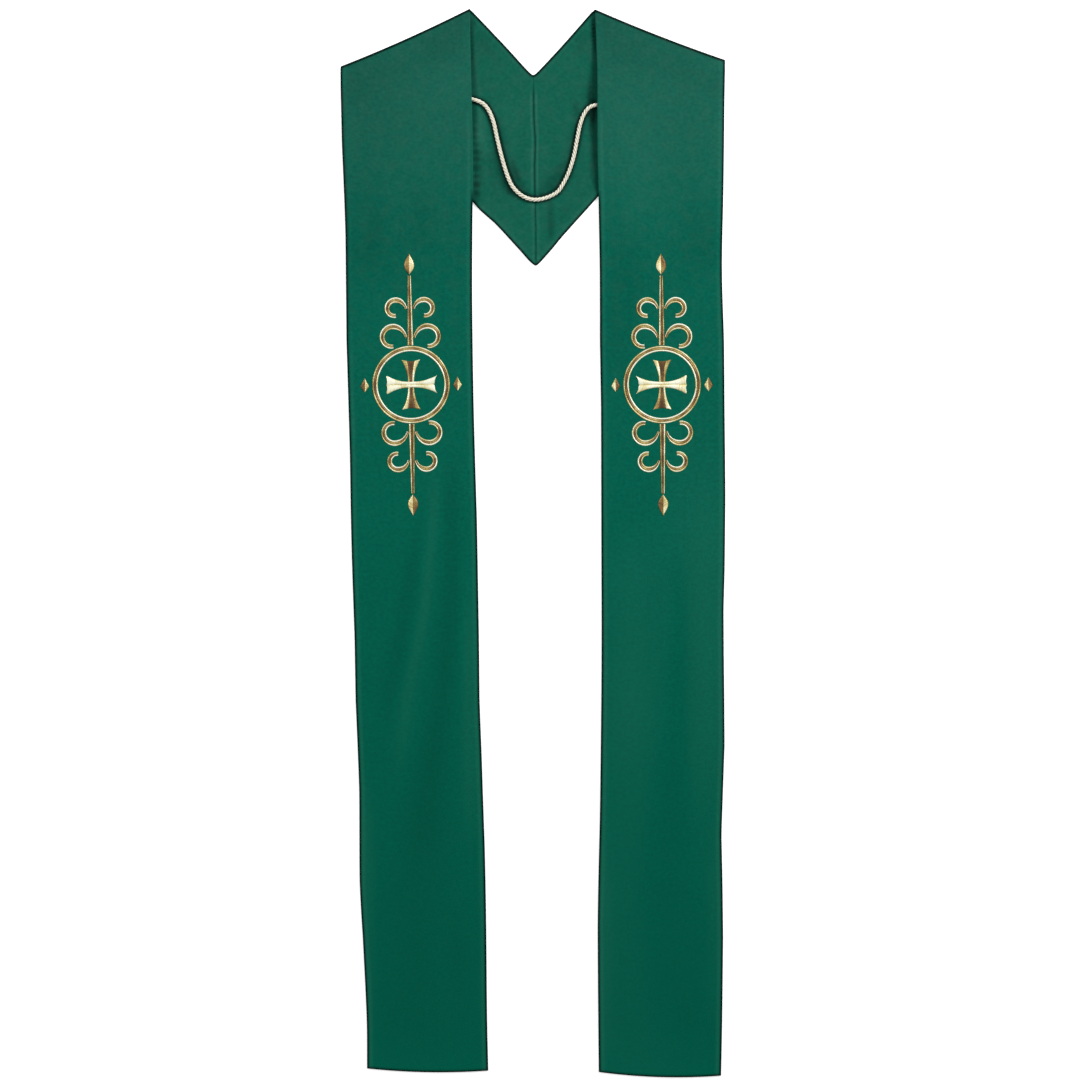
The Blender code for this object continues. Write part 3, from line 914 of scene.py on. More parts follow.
def weave_group():
    """A plain weave: threads that pass over and under each other at the given pitch."""
    tree, nodes, given, made = new_group(
        "plain_weave",
        (("Place", "NodeSocketVector"), ("Threads", "NodeSocketFloat")),
        (("Height", "NodeSocketFloat"), ("Slub", "NodeSocketFloat")),
    )
    place = nodes.scale(given["Place"], given["Threads"])
    split = nodes.add("ShaderNodeSeparateXYZ")
    nodes.join(place, split.inputs[0])
    across, along = split.outputs[0], split.outputs[1]

    def threads(side_way, long_way, shift):
        round_top = nodes.math("ABSOLUTE", nodes.math("SINE", nodes.math("MULTIPLY", side_way, math.pi)))
        count = nodes.math("FLOOR", side_way)
        phase = nodes.math("ADD", nodes.math("ADD", long_way, count), shift)
        wave = nodes.math("SINE", nodes.math("MULTIPLY", phase, math.pi))
        over = nodes.math("MULTIPLY_ADD", wave, 0.5, 0.5)
        return nodes.math("MULTIPLY", round_top, over)

    height = nodes.math("MAXIMUM", threads(across, along, 0.0), threads(along, across, 0.5))
    nodes.join(height, made["Height"])
    streaks = [
        nodes.noise(nodes.multiply(place, stretch), 1.0, detail=1.0)
        for stretch in ((1.3, 0.03, 1.0), (0.03, 1.3, 1.0))
    ]
    nodes.join(nodes.math("MULTIPLY", nodes.math("ADD", *streaks), 0.5), made["Slub"])
    return tree


def tone_group():
    """Slow light and dark drift over the surface, with a finer grain in it."""
    tree, nodes, given, made = new_group(
        "soft_tone",
        (("Place", "NodeSocketVector"), ("Grain", "NodeSocketFloat")),
        (("Tone", "NodeSocketFloat"),),
    )
    slow = nodes.noise(given["Place"], DRIFT_SCALE, detail=3.0)
    fine = nodes.noise(nodes.multiply(given["Place"], (0.8, 1.0, 1.0)), GRAIN_SCALE, detail=1.0)
    mixed = nodes.math("MULTIPLY_ADD", nodes.math("SUBTRACT", fine, slow), given["Grain"], slow)
    nodes.join(nodes.map_range(mixed, 0.3, 0.7, 0.0, 1.0), made["Tone"])
    return tree


WEAVE = weave_group()
TONE = tone_group()


def cloth_finish(name, colours_and_painted_sheen, edge, threads, depth, sheen):
    """Green cloth: its colour changes along it, paler and greyer towards the shoulders as a painted
    sheen, with painted shade on its edges, fold and seam, and bands of painted light and shade.
    """
    finish, surface = new_finish(
        name,
        {
            "Specular IOR Level": 0.03,
            "Sheen Weight": sheen,
            "Sheen Roughness": 0.35,
            "Sheen Tint": (0.35, 0.85, 0.7, 1.0),
        },
    )
    nodes = Nodes(finish.node_tree)
    place = nodes.attribute("cloth_place", "Vector")
    weave = nodes.group(WEAVE, Place=place, Threads=threads)
    tone = nodes.group(TONE, Place=place, Grain=TONE_GRAIN).outputs["Tone"]
    slub = nodes.map_range(weave.outputs["Slub"], 0.35, 0.65, -SLUB_TONE, SLUB_TONE)
    # Painted shade in the weave's valleys and painted light on its crowns
    weave_painted_shade = nodes.map_range(weave.outputs["Height"], 0.0, 0.8, VALLEY_PAINTED_SHADE, CROWN_PAINTED_LIGHT)
    share = nodes.math("ADD", nodes.math("ADD", tone, slub), weave_painted_shade)
    split = nodes.add("ShaderNodeSeparateXYZ")
    nodes.join(place, split.inputs[0])
    # Colours along the strip; the face's paler, greyer top is a painted sheen
    body = nodes.ramp(nodes.map_range(split.outputs[1], 0.0, CLOTH_LENGTH, 0.0, 1.0), colours_and_painted_sheen)
    worn = nodes.map_range(split.outputs[1], BLOTCH_FROM, BLOTCH_FULL, HEM_BLOTCH, 1.0)
    even = nodes.map_range(split.outputs[1], 0.0, GRAIN_FULL, HEM_GRAIN * TONE_DEPTH, TONE_DEPTH)
    light = nodes.math("MULTIPLY_ADD", nodes.map_range(share, 0.0, 1.0, -1.0, 1.0), even, 1.0)
    grained = nodes.scale(body, light)
    # Painted shade: the edges, fold and seam are blended towards a near-black green
    turned = nodes.blend(nodes.attribute("edge_shade", "Fac"), grained, (*edge, 1.0))
    # Painted light and shade: darker below zero, paler with a pale tint above it
    nap = nodes.attribute("nap", "Fac")
    lie = nodes.math("MAXIMUM", nodes.math("MULTIPLY_ADD", nap, PAINTED_LIGHT_GAIN, 1.0), PAINTED_SHADE_FLOOR)
    raised = nodes.math("MULTIPLY", nodes.math("MAXIMUM", nap, 0.0), PAINTED_LIGHT_TINT)
    patch = nodes.noise(place, BLOTCH_SCALE, detail=2.0)
    blotch = nodes.math("MULTIPLY", nodes.map_range(patch, 0.4, 0.7, 0.0, BLOTCH_DEPTH), worn)
    # The pale tint: painted light, with random pale blotches
    pale = nodes.math("ADD", raised, blotch)
    colour = nodes.blend(pale, nodes.scale(turned, lie), (*PAINTED_LIGHT_COLOUR, 1.0))
    nodes.join(colour, surface.inputs["Base Color"])
    rough = nodes.map_range(weave.outputs["Slub"], 0.3, 0.7, ROUGH_SMOOTH, ROUGH_COARSE)
    nodes.join(rough, surface.inputs["Roughness"])
    fuzz = nodes.noise(place, FUZZ_SCALE, detail=1.0)
    height = nodes.math("MULTIPLY_ADD", fuzz, FUZZ_SHARE, weave.outputs["Height"])
    nodes.join(nodes.bump(height, WEAVE_BUMP, depth), surface.inputs["Normal"])
    return finish


def thread_finish():
    """Metallic thread, from bronze in shade to cream where the stitches catch the light."""
    finish, surface = new_finish("gold_thread", {"Metallic": 0.25, "Specular IOR Level": 0.5})
    nodes = Nodes(finish.node_tree)
    place = nodes.attribute("stitch_place", "Vector")
    tone = nodes.attribute("stitch_tone", "Fac")
    grain = nodes.noise(nodes.multiply(place, (0.25, 1.0, 1.0)), 2400.0, detail=2.0)
    share = nodes.math("ADD", tone, nodes.map_range(grain, 0.3, 0.7, -0.08, 0.08))
    nodes.join(nodes.ramp(share, THREAD_COLOURS_AND_PAINTED_LIGHT), surface.inputs["Base Color"])
    nodes.join(nodes.map_range(grain, 0.3, 0.7, 0.28, 0.5), surface.inputs["Roughness"])
    nodes.join(nodes.bump(grain, 0.4, 0.00008), surface.inputs["Normal"])
    return finish


def cord_finish():
    """Cream yarn, with painted shade down in the grooves between the plies, and a few brown marks."""
    finish, surface = new_finish("pale_cord", {"Specular IOR Level": 0.4, "Sheen Weight": 0.15})
    nodes = Nodes(finish.node_tree)
    place = nodes.attribute("ply_place", "Vector")
    groove = nodes.attribute("groove", "Fac")
    yarn = nodes.noise(nodes.multiply(place, (1.0, 0.12, 1.0)), 2.2, detail=2.0)
    fleck = nodes.noise(place, 0.35, detail=3.0)
    share = nodes.math("ADD", groove, nodes.map_range(yarn, 0.3, 0.7, -0.25, 0.25))
    body = nodes.ramp(share, CORD_COLOURS_AND_GROOVE_SHADE)
    marked = nodes.map_range(fleck, 0.52, 0.68, 0.0, 0.55)
    colour = nodes.blend(marked, body, (*CORD_MARK, 1.0))
    nodes.join(colour, surface.inputs["Base Color"])
    nodes.join(nodes.map_range(yarn, 0.3, 0.7, 0.42, 0.62), surface.inputs["Roughness"])
    nodes.join(nodes.bump(yarn, 0.5, 0.00012), surface.inputs["Normal"])
    return finish


# Neck cord


def smooth_route(points, count):
    """Points evenly spread along a smooth curve through the route's own points."""
    fine = []
    for n in range(len(points) - 1):
        before, start = points[max(n - 1, 0)], points[n]
        end, after = points[n + 1], points[min(n + 2, len(points) - 1)]
        for step in range(ROUTE_STEPS):
            t = step / ROUTE_STEPS
            fine.append(
                0.5
                * (
                    2 * start
                    + (end - before) * t
                    + (2 * before - 5 * start + 4 * end - after) * t**2
                    + (3 * start - before - 3 * end + after) * t**3
                )
            )
    fine.append(points[-1])
    reach = [0.0]
    for first, second in zip(fine, fine[1:]):
        reach.append(reach[-1] + (second - first).length)
    even, n = [], 0
    for k in range(count):
        wanted = reach[-1] * k / (count - 1)
        while n < len(fine) - 2 and reach[n + 1] < wanted:
            n += 1
        share = (wanted - reach[n]) / (reach[n + 1] - reach[n])
        even.append(fine[n].lerp(fine[n + 1], min(share, 1.0)))
    return even


def cord_outline():
    """Angle, radius, share across its ply, and ply of each point round the cord."""
    outline = []
    for ply in range(PLIES):
        for n in range(PLY_SAMPLES):
            share = 2 * n / PLY_SAMPLES - 1
            angle = share * math.pi / PLIES
            side_way = PLY_CENTRE * math.sin(angle)
            radius = PLY_CENTRE * math.cos(angle) + math.sqrt(PLY_RADIUS**2 - side_way**2)
            outline.append((angle + ply * 2 * math.pi / PLIES, radius, share, ply))
    return outline


def add_cord():
    """Three plies turned about each other along the route, as one closed skin."""
    route = [world(x, drop, CORD_HEIGHT) for x, drop in CORD_ROUTE]
    path = smooth_route(route, CORD_POINTS)
    middles = smooth_route(path, CORD_STRETCHES + 1)
    outline = cord_outline()
    widest = PLY_CENTRE + PLY_RADIUS
    deepest = min(radius for _, radius, _, _ in outline)
    points, faces, grooves, places = [], [], [], []
    step = (middles[1] - middles[0]).length / MM
    around = len(outline)
    for k, middle in enumerate(middles):
        ahead = middles[min(k + 1, CORD_STRETCHES)] - middles[max(k - 1, 0)]
        forward = ahead.normalized()
        sideways = forward.cross(Vector((0.0, 0.0, 1.0))).normalized()
        up = sideways.cross(forward)
        turned = 2 * math.pi * k * step / PLY_TURN
        for angle, radius, share, ply in outline:
            reach = radius * CORD_DIAMETER / 2 / widest * MM
            out = sideways * math.cos(angle + turned) + up * math.sin(angle + turned)
            points.append(middle + out * reach)
            # How deep each point lies between the plies, where the material paints it darker as shade
            grooves.append(((widest - radius) / (widest - deepest)) ** GROOVE_POWER)
            places.append((share + ply * PLY_APART, k * step, 0.0))
    for k in range(CORD_STRETCHES):
        for n in range(around):
            near, far = k * around + n, k * around + (n + 1) % around
            faces.append((near, far, far + around, near + around))
    faces.append(tuple(range(around - 1, -1, -1)))
    faces.append(tuple(CORD_STRETCHES * around + n for n in range(around)))
    cord = add_mesh(
        "twisted_neck_cord",
        points,
        faces,
        [cord_finish()],
        floats={"groove": grooves},
        vectors={"ply_place": places},
    )
    tidy_normals(cord.data)
    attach(cord, BODY)
    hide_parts("neck_cord")


def tidy_normals(mesh):
    """Turn every face outwards."""
    net = bmesh.new()
    net.from_mesh(mesh)
    bmesh.ops.recalc_face_normals(net, faces=net.faces)
    net.to_mesh(mesh)
    net.free()


# Cloth strips


class Strip:
    """The middle surface of one strip, from the hem over the shoulder to the centre-back seam.

    Plan vectors here hold the distance out from the seam and the height above the peak's level.
    """

    def __init__(self, side):
        self.side = side
        self.peak = Vector((side.peak.out, -side.peak.drop))
        corner = Vector((side.corner.out, -side.corner.drop))
        self.shoulder = (corner - self.peak).length
        self.along = (corner - self.peak).normalized()
        self.facing = Vector((-self.along.y, self.along.x))
        self.inset = FOLD_RADIUS + CLOTH / 2
        turn_start = self.peak - self.facing * self.inset
        slope = self.along.y / self.along.x
        self.top_drops = [
            -(turn_start.y + (getattr(side.sections[0], edge) - turn_start.x) * slope)
            for edge in ("inner", "outer")
        ]
        neck = Vector((0.0, -NECK_POINT_DROP)) - self.peak
        self.neck_slope = -neck.y / self.peak.x
        neck.normalize()
        self.from_neck = neck / neck.dot(self.facing)
        self.yoke_inner = self.peak - self.from_neck * self.inset
        self.yoke_outer = self.front_plan(0.0, 1.0) - self.along * YOKE_SHIFT
        self.under_slope = (BACK_POINT_DROP + self.yoke_outer.y) / self.yoke_outer.x
        under = (Vector((0.0, -BACK_POINT_DROP)) - self.yoke_outer).normalized()
        self.under_facing = Vector((under.y, -under.x))

    def front_plan(self, down, across):
        """down: 0 at the shoulder, 1 at the hem. across: 0 at the inner edge, 1 at the outer."""
        hem = self.side.hem
        inner = between(self.top_drops[0], hem.inner, down)
        outer = between(self.top_drops[1], hem.outer, down)
        bow = hem.bow * 4 * across * (1 - across) * down**BOW_POWER
        drop = between(inner, outer, across) + bow
        sections = self.side.sections
        edges = [
            edge_at(sections, edge, drop) + wave_at(EDGE_WAVES[self.side.name][edge], drop)
            for edge in ("inner", "outer")
        ]
        return Vector((between(*edges, across), -drop))

    def yoke_plan(self, back, across):
        """back: 0 at the shoulder, 1 at the seam. across: 0 at the neck edge, 1 at the lower edge."""
        inner = between(self.yoke_inner.x, -SEAM_LAP, back)
        outer = between(self.yoke_outer.x, -SEAM_LAP, back)
        neck_drop = NECK_POINT_DROP - self.neck_slope * math.hypot(inner, POINT_ROUNDING)
        back_drop = BACK_POINT_DROP - self.under_slope * math.hypot(outer, POINT_ROUNDING)
        wave_drops, wave_outs = zip(*YOKE_WAVES[self.side.name])
        wave = float(np.interp(outer, wave_outs, wave_drops))
        out = between(inner, outer, across)
        drop = between(neck_drop, back_drop, across) + wave * across**YOKE_WAVE_POWER
        drift = float(seam_drift(drop)) * math.exp(-((out / SEAM_DRIFT_REACH) ** 2))
        return Vector((out + self.side.sign * drift, -drop))

    def front_lift(self, plan):
        """How high the front stands off the plane that the stole lies on."""
        over_yoke = (plan - self.yoke_outer).dot(self.under_facing)
        ramp = eased((over_yoke - LIFT_STARTS) / (LIFT_ENDS - LIFT_STARTS))
        from_fold = (self.yoke_inner - plan).dot(self.facing)
        return between(2 * FOLD_RADIUS, FRONT_LIFT * ramp, eased(from_fold / FOLD_EASE))

    def sag(self, plan):
        """How far the cloth near the shoulder fold hangs below a straight fold."""
        away = self.peak - plan
        share = min(max(-away.dot(self.along) / self.shoulder, 0.0), 1.0)
        near = math.exp(-((away.dot(self.facing) / SAG_REACH) ** 2))
        return SHOULDER_SAG * 4 * share * (1 - share) * near

    def middle(self, place, across):
        """A point of the middle surface: its plan and its height."""
        plan, height = self.straight_middle(place, across)
        return plan - Vector((0.0, self.sag(plan))), height

    def straight_middle(self, place, across):
        part, share = place
        if part == "front":
            plan = self.front_plan(share, across)
            return plan, CLOTH / 2 + self.front_lift(plan)
        if part == "yoke":
            return self.yoke_plan(share, across), CLOTH / 2
        angle = math.pi * share
        reach = FOLD_RADIUS * math.sin(angle)
        front = self.front_plan(0.0, across) + Vector((0.0, reach / self.facing.y))
        yoke = self.yoke_plan(0.0, across) + self.from_neck * reach
        plan = front.lerp(yoke, between(share, eased(2.0 * share - 1.0), across))
        return plan, CLOTH / 2 + FOLD_RADIUS * (1 + math.cos(angle))


def spread(start, end, step):
    """Even steps from start up to end, without the last."""
    count = max(round((end - start) / step), 1)
    return [start + (end - start) * n / count for n in range(count)]


def strip_rows():
    """The rows' places, from the hem to the seam."""
    front = list(HEM_STEPS)
    front += spread(HEM_STEPS[-1], FRONT_LENGTH - SHOULDER_REACH, FRONT_STEP)[1:]
    front += spread(FRONT_LENGTH - SHOULDER_REACH, FRONT_LENGTH, SHOULDER_STEP)
    front.append(FRONT_LENGTH)
    rows = [("front", 1.0 - distance / FRONT_LENGTH) for distance in front]
    rows += [("turn", n / TURN_ROWS) for n in range(1, TURN_ROWS)]
    yoke = spread(0.0, YOKE_LENGTH - SEAM_STEPS[-1], YOKE_STEP)
    yoke += [YOKE_LENGTH - step for step in reversed(SEAM_STEPS)]
    rows += [("yoke", distance / YOKE_LENGTH) for distance in yoke]
    return rows


def strip_columns():
    """Shares across the strip, closest where the yoke's gathers and the cord's shade lie."""
    columns = list(EDGE_STEPS)
    columns += spread(EDGE_STEPS[-1], CLOSE_FROM, COARSE_COLUMN)[1:]
    columns += spread(CLOSE_FROM, FINE_FROM, CLOSE_COLUMN)
    columns += spread(FINE_FROM, BAND_WIDTH - EDGE_STEPS[-1], FINE_COLUMN)
    columns += [BAND_WIDTH - step for step in reversed(EDGE_STEPS)]
    return [column / BAND_WIDTH for column in columns]


def crease_relief(x, drop, creases):
    """Height added by soft creases, each on a bent line with its own widths and heights."""
    total = np.zeros_like(x)
    for crease in creases:
        bends = [Bend(*bend) for bend in crease]
        nearest = np.full_like(x, np.inf)
        raised = np.zeros_like(x)
        for start, end in zip(bends, bends[1:]):
            run_x, run_drop = end.x - start.x, end.drop - start.drop
            length = run_x**2 + run_drop**2
            share = np.clip(((x - start.x) * run_x + (drop - start.drop) * run_drop) / length, 0.0, 1.0)
            away = np.hypot(x - start.x - share * run_x, drop - start.drop - share * run_drop)
            width = between(start.width, end.width, share)
            height = between(start.height, end.height, eased(share))
            here = height * np.exp(-((away / width) ** 2))
            closer = away < nearest
            raised = np.where(closer, here, raised)
            nearest = np.minimum(away, nearest)
        total += raised
    return total


def rise(relief):
    """The part of a crease that lifts the cloth's underside too."""
    return np.maximum(relief - UNDERSIDE_FROM, 0.0)


def pucker_relief(x, drop):
    """Height added by the small gathers, each of which fades out away from the front's edge."""
    total = np.zeros_like(x)
    for pucker in PUCKERS:
        along = (x - PUCKER_START) / pucker.length
        fade = eased(1.0 - along) * (along > -PUCKER_BACK)
        total += pucker.height * fade * np.exp(-(((drop - pucker.drop) / PUCKER_HALF) ** 2))
    return total


def edge_swell(distance):
    """Share of the cloth's thickness at this distance from an edge, which is rounded."""
    inward = np.clip(distance / EDGE_ROUND, 0.0, 1.0)
    return np.sqrt(np.maximum(1.0 - (1.0 - inward) ** 2, 0.0))


def cord_line(ends, inward, width, height):
    """A band of painted shade beside the cord, this far inside its loop, without the given points at its
    ends.
    """
    route = CORD_ROUTE[ends:-ends]
    bends = []
    for n, (x, drop) in enumerate(route):
        before, after = route[max(n - 1, 0)], route[min(n + 1, len(route) - 1)]
        run = Vector((after[0] - before[0], after[1] - before[1])).normalized()
        bends.append((x + run.y * inward, drop - run.x * inward, width, height))
    return tuple(bends)


def cord_painted_shade():
    """Painted shadow under and beside the cord, darkest where it presses on the yoke."""
    return (
        cord_line(CORD_CONTACT_ENDS, CORD_CONTACT_INWARD, CORD_CONTACT_WIDTH, CORD_CONTACT),
        cord_line(CORD_SHADE_ENDS, CORD_SHADE_INWARD, CORD_SHADE_WIDTH, CORD_SHADE),
    )


def edge_shade(distance):
    """1 on the edge, where the painted shade is darkest, to 0 inside it."""
    return 1.0 - eased((distance - SHADE_START) / (SHADE_END - SHADE_START))


def soft_band(distance, place, width):
    """1 where the distance is the place, fading over the width on both sides."""
    return np.exp(-(((distance - place) / width) ** 2))


def turning(distance):
    """How much the turning inside raises the cloth at this distance from its edge."""
    return TURNING_HEIGHT * (1.0 - eased((distance - TURNING_WIDTH) / TURNING_RAMP))


def seam_in_sight(drop):
    """Share of the centre-back seam's painted shade and painted highlights at this drop."""
    in_sight = eased((drop - SEAM_SHADE_FROM) / SEAM_SHADE_RAMP)
    return in_sight * (1.0 - SEAM_SHADE_LESS * eased((drop - SEAM_LESS_FROM) / SEAM_SHADE_RAMP))


def strip_middle(strip, rows, columns):
    """Every point of the strip's middle surface, in rows from the hem to the seam."""
    middle = np.empty((len(rows), len(columns), 3))
    for n, place in enumerate(rows):
        for k, across in enumerate(columns):
            plan, height = strip.middle(place, across)
            middle[n, k] = (strip.side.sign * plan.x + SEAM_X, FULL_LENGTH / 2 + plan.y, height)
    return middle


def outward_ways(middle, sign):
    """The direction from the lining to the face at every point."""
    outward = sign * np.cross(np.gradient(middle, axis=1), np.gradient(middle, axis=0))
    return outward / np.linalg.norm(outward, axis=2)[:, :, None]


def read_net(middle, rows):
    """Each point's place, its distance from every edge, and whether it is on the front or the yoke."""
    in_front = np.array([part == "front" for part, _ in rows])[:, None]
    in_yoke = np.array([part == "yoke" for part, _ in rows])[:, None]
    row_run = middle[:, -1] - middle[:, 0]
    length = np.linalg.norm(row_run, axis=1)
    shares = []
    for column in (0, -1):
        edge_run = np.gradient(middle[:, column], axis=0)
        turned = np.linalg.norm(np.cross(row_run, edge_run), axis=1)
        shares.append(turned / np.linalg.norm(edge_run, axis=1) / length)
    along_row = np.linalg.norm(middle - middle[:, :1], axis=2)
    return Net(
        x=middle[:, :, 0] - SEAM_X,
        drop=FULL_LENGTH / 2 - middle[:, :, 1],
        inner=along_row * shares[0][:, None],
        outer=(length[:, None] - along_row) * shares[1][:, None],
        hem=np.where(in_front, np.linalg.norm(middle - middle[:1], axis=2), np.inf),
        seam=np.where(in_yoke, np.abs(middle[:, :, 0] - middle[-1:, :, 0]), np.inf),
        in_front=in_front,
        in_yoke=in_yoke,
    )


def strip_swell(net):
    """Share of the cloth's thickness at each point, none at its edges."""
    long_edges = edge_swell(np.minimum(net.inner, net.outer))
    return long_edges * edge_swell(net.hem) * edge_swell(net.seam * EDGE_ROUND / SEAM_ROUND)


def strip_reliefs(net, side):
    """How far turnings, creases and gathers raise the face, and how far the lining."""
    sewn = turning(np.minimum(np.minimum(np.minimum(net.inner, net.outer), net.hem), net.seam))
    front = sewn + crease_relief(net.x, net.drop, FRONT_CREASES[side.name])
    yoke = sewn + crease_relief(net.x, net.drop, YOKE_CREASES[side.name])
    if side is LEFT:
        yoke += pucker_relief(net.x, net.drop)
    face = np.where(net.in_front, front, -UNDERSIDE_SHARE * rise(yoke))
    lining = np.where(net.in_yoke, yoke, -UNDERSIDE_SHARE * rise(front))
    in_turn = ~(net.in_front | net.in_yoke)
    return np.where(in_turn, 0.0, face), np.where(in_turn, 0.0, lining)


def strip_painted_shade(net, from_fold):
    """How much painted shade darkens the edges, the shoulder fold and the seam, where they can be seen.
    """
    covered = net.in_front * (1.0 - eased((net.drop - OVER_YOKE_ENDS) / OVER_YOKE_RAMP))
    neck_edge = np.where(net.in_yoke, net.inner - NECK_SHADE, net.inner)
    rim = np.minimum(np.minimum(net.outer, net.hem), from_fold - FOLD_SHADE)
    seam = SEAM_SHADE * seam_in_sight(net.drop) * (1.0 - eased(net.seam / SEAM_SHADE_WIDTH))
    shade = np.maximum(edge_shade(rim), edge_shade(neck_edge) * (1.0 - covered))
    return np.maximum(shade, seam)


def strip_painted_light_and_shade(net, side):
    """Painted light and shade on the front, on the yoke and beside the edges: paler above zero, darker
    below.
    """
    # Painted highlights inside the edges and on both sides of the seam
    from_top = eased((net.drop - INNER_LIFT_FROM) / INNER_LIFT_RAMP)
    inner = np.where(net.in_front, from_top, NECK_PAINTED_HIGHLIGHT) * soft_band(net.inner, RIM_PLACE, RIM_WIDTH)
    outer = np.where(net.in_yoke, BACK_PAINTED_HIGHLIGHT, 1.0) * soft_band(net.outer, RIM_PLACE, RIM_WIDTH)
    seam = seam_in_sight(net.drop) * soft_band(net.seam, SEAM_LIFT_PLACE, SEAM_LIFT_WIDTH)
    edges = RIM_PAINTED_HIGHLIGHT * np.maximum(outer, inner) + SEAM_PAINTED_HIGHLIGHT * seam
    # Bands of painted light and shade, laid out like the creases
    front = crease_relief(net.x, net.drop, FRONT_PAINTED_LIGHT_AND_SHADE[side.name])
    yoke = crease_relief(net.x, net.drop, YOKE_PAINTED_LIGHT_AND_SHADE[side.name] + cord_painted_shade())
    # Painted light on the crests of the puckers
    if side is LEFT:
        yoke += PUCKER_PAINTED_LIGHT * pucker_relief(net.x, net.drop)
    return np.where(net.in_front, front, 0.0), np.where(net.in_yoke, yoke, 0.0), edges


def cloth_run(middle):
    """How far across and along the cloth each point lies, in metres, for its weave."""
    steps_along = np.linalg.norm(np.diff(middle, axis=0), axis=2)
    steps_across = np.linalg.norm(np.diff(middle, axis=1), axis=2)
    along = np.pad(np.cumsum(steps_along, axis=0), ((1, 0), (0, 0)))
    across = np.pad(np.cumsum(steps_across, axis=1), ((0, 0), (1, 0)))
    return np.stack([across, along, np.zeros_like(along)], axis=2) * MM


def quads(numbers):
    """The faces between the rows and columns of a net of point numbers."""
    corners = (numbers[:-1, :-1], numbers[:-1, 1:], numbers[1:, 1:], numbers[1:, :-1])
    return np.stack(corners, axis=2).reshape(-1, 4)


def add_strip(side, finishes):
    """One strip as a closed shell, whose face and lining share the points of its rim."""
    strip = Strip(side)
    rows, columns = strip_rows(), strip_columns()
    middle = strip_middle(strip, rows, columns)
    net = read_net(middle, rows)
    outward = outward_ways(middle, side.sign)
    swell = strip_swell(net)
    face_relief, lining_relief = strip_reliefs(net, side)
    face = middle + outward * ((CLOTH / 2 + face_relief) * swell)[:, :, None]
    lining = middle - outward * ((CLOTH / 2 + lining_relief) * swell)[:, :, None]

    upper = np.arange(swell.size).reshape(swell.shape)
    inside = np.zeros_like(upper, dtype=bool)
    inside[1:-1, 1:-1] = True
    lower = upper.copy()
    lower[inside] = upper.size + np.arange(inside.sum())
    upper_faces = quads(upper)[:, :: side.sign]
    lower_faces = quads(lower)[:, :: -side.sign]

    def on_shell(above, below):
        """The values of the face's points, followed by those of the lining's own."""
        return np.concatenate([above.reshape(upper.size, -1), below[inside].reshape(inside.sum(), -1)])

    facing = np.array((side.sign * strip.facing.x, strip.facing.y, 0.0))
    from_fold = (face[rows.index(("turn", 0.5))] - face) @ facing
    shade = strip_painted_shade(net, from_fold)
    front_painted, yoke_painted, edge_painted_highlight = strip_painted_light_and_shade(net, side)
    face_painted = np.where(inside, front_painted + edge_painted_highlight, front_painted + edge_painted_highlight + yoke_painted)
    run = cloth_run(middle)
    cloth = add_mesh(
        f"{side.name}_strip_cloth",
        (on_shell(face, lining) * MM).tolist(),
        np.concatenate([upper_faces, lower_faces]).tolist(),
        finishes,
        floats={
            "edge_shade": on_shell(shade, shade).ravel(),
            "nap": on_shell(face_painted, yoke_painted + edge_painted_highlight).ravel(),
        },
        vectors={"cloth_place": on_shell(run, run)},
    )
    which = np.repeat(np.array((0, 1), dtype=np.int32), (len(upper_faces), len(lower_faces)))
    cloth.data.polygons.foreach_set("material_index", which)
    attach(cloth, BODY)
    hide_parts(f"{side.name}_arm")
    return cloth


# Gold stitches


def stroke_rows(stroke):
    """Even steps along a stroke: each step's place, forward direction, half width and distance."""
    path = np.array(stroke.path, dtype=float)
    halves = np.array(stroke.halves, dtype=float)
    if stroke.closed:
        path = np.vstack([path, path[:1]])
        halves = np.append(halves, halves[0])
    reach = np.append(0.0, np.cumsum(np.linalg.norm(np.diff(path, axis=0), axis=1)))
    count = 2 * max(round(reach[-1] / STITCH_PITCH), 3)
    wanted = np.linspace(0.0, reach[-1], count + 1)
    if stroke.closed:
        wanted = wanted[:-1]
    place = np.stack([np.interp(wanted, reach, path[:, axis]) for axis in (0, 1)], axis=1)
    half = np.interp(wanted, reach, halves)
    if stroke.closed:
        forward = np.roll(place, -1, axis=0) - np.roll(place, 1, axis=0)
    else:
        forward = np.gradient(place, axis=0)
    forward /= np.linalg.norm(forward, axis=1)[:, None]
    return place, forward, half, wanted, reach[-1]


def stitch_faces(count, closed):
    """Faces round a band with this many rows of points, whose two ends are joined or capped."""
    faces = []
    last = count if closed else count - 1
    for n in range(last):
        ahead = (n + 1) % count
        for k in range(STITCH_SAMPLES):
            beside = (k + 1) % STITCH_SAMPLES
            near, far = n * STITCH_SAMPLES, ahead * STITCH_SAMPLES
            faces.append((near + k, near + beside, far + beside, far + k))
    if not closed:
        faces.append(tuple(range(STITCH_SAMPLES)))
        faces.append(tuple((count - 1) * STITCH_SAMPLES + k for k in range(STITCH_SAMPLES)))
    return faces


